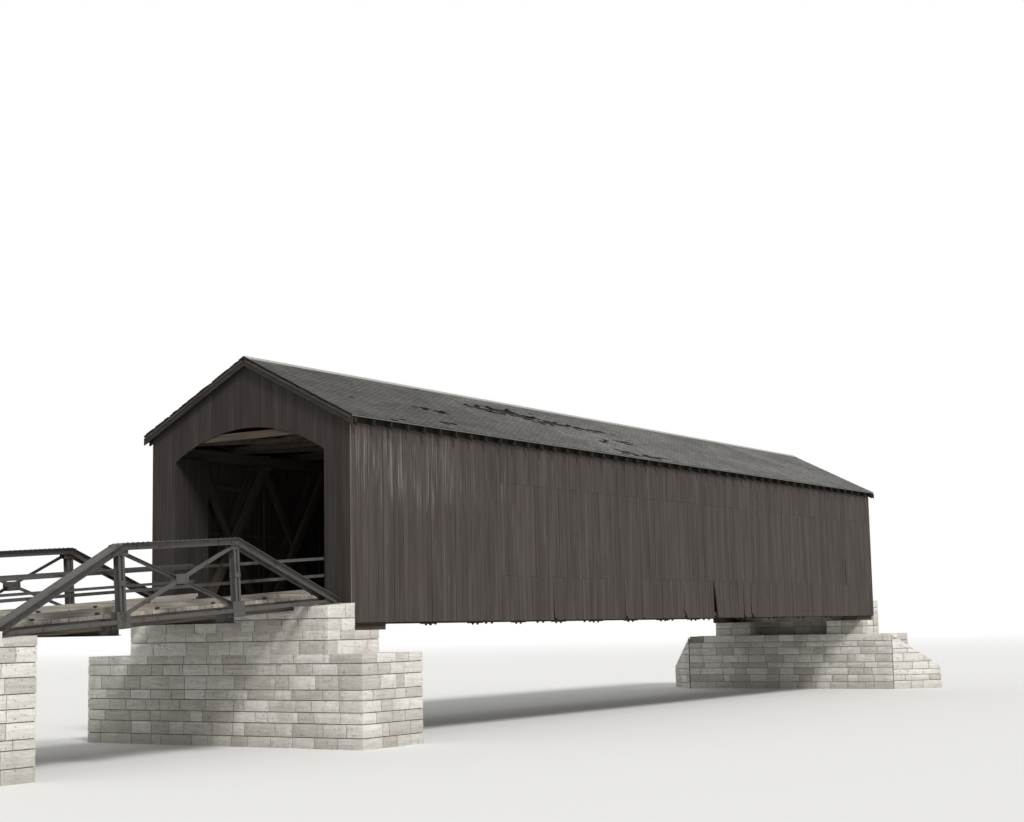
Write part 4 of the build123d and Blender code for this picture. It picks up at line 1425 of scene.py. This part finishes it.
def seen_directly(wiring):
    """1 for the camera and for what shows in mirrors and glass, else 0."""
    rays = wiring.node("ShaderNodeLightPath").outputs
    mirrored = wiring.math("MAXIMUM", rays["Is Glossy Ray"], rays["Is Transmission Ray"])
    return wiring.math("MAXIMUM", rays["Is Camera Ray"], mirrored)


def floor_finish():
    """Pale and matt, and far off as white as the sky."""
    finish = Finish("studio_floor", roughness=0.95, specular=0.1)
    finish.feed(finish.shader, {"Base Color": FLOOR_COLOUR})
    white = finish.node("ShaderNodeEmission", {"Color": WHITE})
    away = finish.node("ShaderNodeVectorMath", (finish.place,), operation="LENGTH")
    fade = finish.ramp(away.outputs["Value"], FADE_FROM, FADE_TO)
    share = finish.math("MULTIPLY", fade, seen_directly(finish))
    mixed = finish.node("ShaderNodeMixShader", (share, finish.shader.outputs[0], white.outputs[0]))
    finish.feed(finish.tree.nodes["Material Output"], {"Surface": mixed.outputs[0]})
    return finish.material


bm = bmesh.new()
bmesh.ops.create_grid(bm, x_segments=1, y_segments=1, size=FLOOR_SIZE / 2)
floor_mesh = finished_mesh(bm, "studio_floor")
floor_mesh.materials.append(floor_finish())
studio_floor = new_object("studio_floor", floor_mesh)

world = bpy.data.worlds.new("white_sky")
bpy.context.scene.world = world
world.use_nodes = True
sky = Wiring(world.node_tree)
strength = sky.node("ShaderNodeMapRange", {"Value": seen_directly(sky), "To Min": SKY_FILL, "To Max": 1.0})
sky.feed(sky.tree.nodes["Background"], {"Color": WHITE, "Strength": strength.outputs["Result"]})
print("sky strength in the shade:", SKY_FILL)

# %% [markdown]
# ## Sun
# In the photograph the light falls on the long wall from high on the near side, and the portal
# is a little darker. A sun lights all of the bridge alike, which a lamp near it couldn't, and
# a wide angle keeps the edges of its shadows soft.

# %% Sun
SUN_STRENGTH = 2.3
SUN_SPREAD = math.radians(14)
SUN_COLOUR = (1.0, 0.985, 0.96)
SUN_DIRECTION = Vector((0.46, 0.72, -0.86))
sun_data = bpy.data.lights.new("broad_sun", "SUN")
sun_data.energy = SUN_STRENGTH
sun_data.angle = SUN_SPREAD
sun_data.color = SUN_COLOUR
sun = new_object("broad_sun", sun_data)
sun.rotation_mode = "QUATERNION"
sun.rotation_quaternion = SUN_DIRECTION.to_track_quat("-Z", "Y")
print("sun height:", round(math.degrees(math.asin(-SUN_DIRECTION.normalized().z)), 1), "degrees")

# %% [markdown]
# ## Camera
# The camera stands where the photographer stood, low beside the approach and looking up along
# the long wall. Its place and turn were fitted to the edges of the bridge in the photograph,
# which is surer than turning it by eye, and so was its focal length, kept here in pixels.

# %% Camera at the photographer's place
CAMERA_PLACE = Vector((-37.639, -24.784, 2.352))
CAMERA_YAW = math.radians(57.003)
CAMERA_PITCH = math.radians(7.307)
CAMERA_ROLL = math.radians(-1.134)
FRAME_WIDTH_PIXELS = 1024
FOCAL_PIXELS = 1684
SENSOR_WIDTH = 36.0
CAMERA_REACH = 1000

forward = Vector((math.sin(CAMERA_YAW) * math.cos(CAMERA_PITCH),
                  math.cos(CAMERA_YAW) * math.cos(CAMERA_PITCH), math.sin(CAMERA_PITCH)))
level_right = Vector((math.cos(CAMERA_YAW), -math.sin(CAMERA_YAW), 0))
level_up = level_right.cross(forward)
right = level_right * math.cos(CAMERA_ROLL) + level_up * math.sin(CAMERA_ROLL)
up = level_up * math.cos(CAMERA_ROLL) - level_right * math.sin(CAMERA_ROLL)
turn = Matrix((right, up, -forward)).transposed()
camera_data = bpy.data.cameras.new("camera")
camera_data.sensor_width = SENSOR_WIDTH
camera_data.lens = SENSOR_WIDTH * FOCAL_PIXELS / FRAME_WIDTH_PIXELS
camera_data.clip_end = CAMERA_REACH
camera = new_object("camera", camera_data)
camera.matrix_world = Matrix.Translation(CAMERA_PLACE) @ turn.to_4x4()
bpy.context.scene.camera = camera
bpy.context.scene.view_settings.view_transform = "Standard"
print("lens", round(camera_data.lens, 2), "mm")
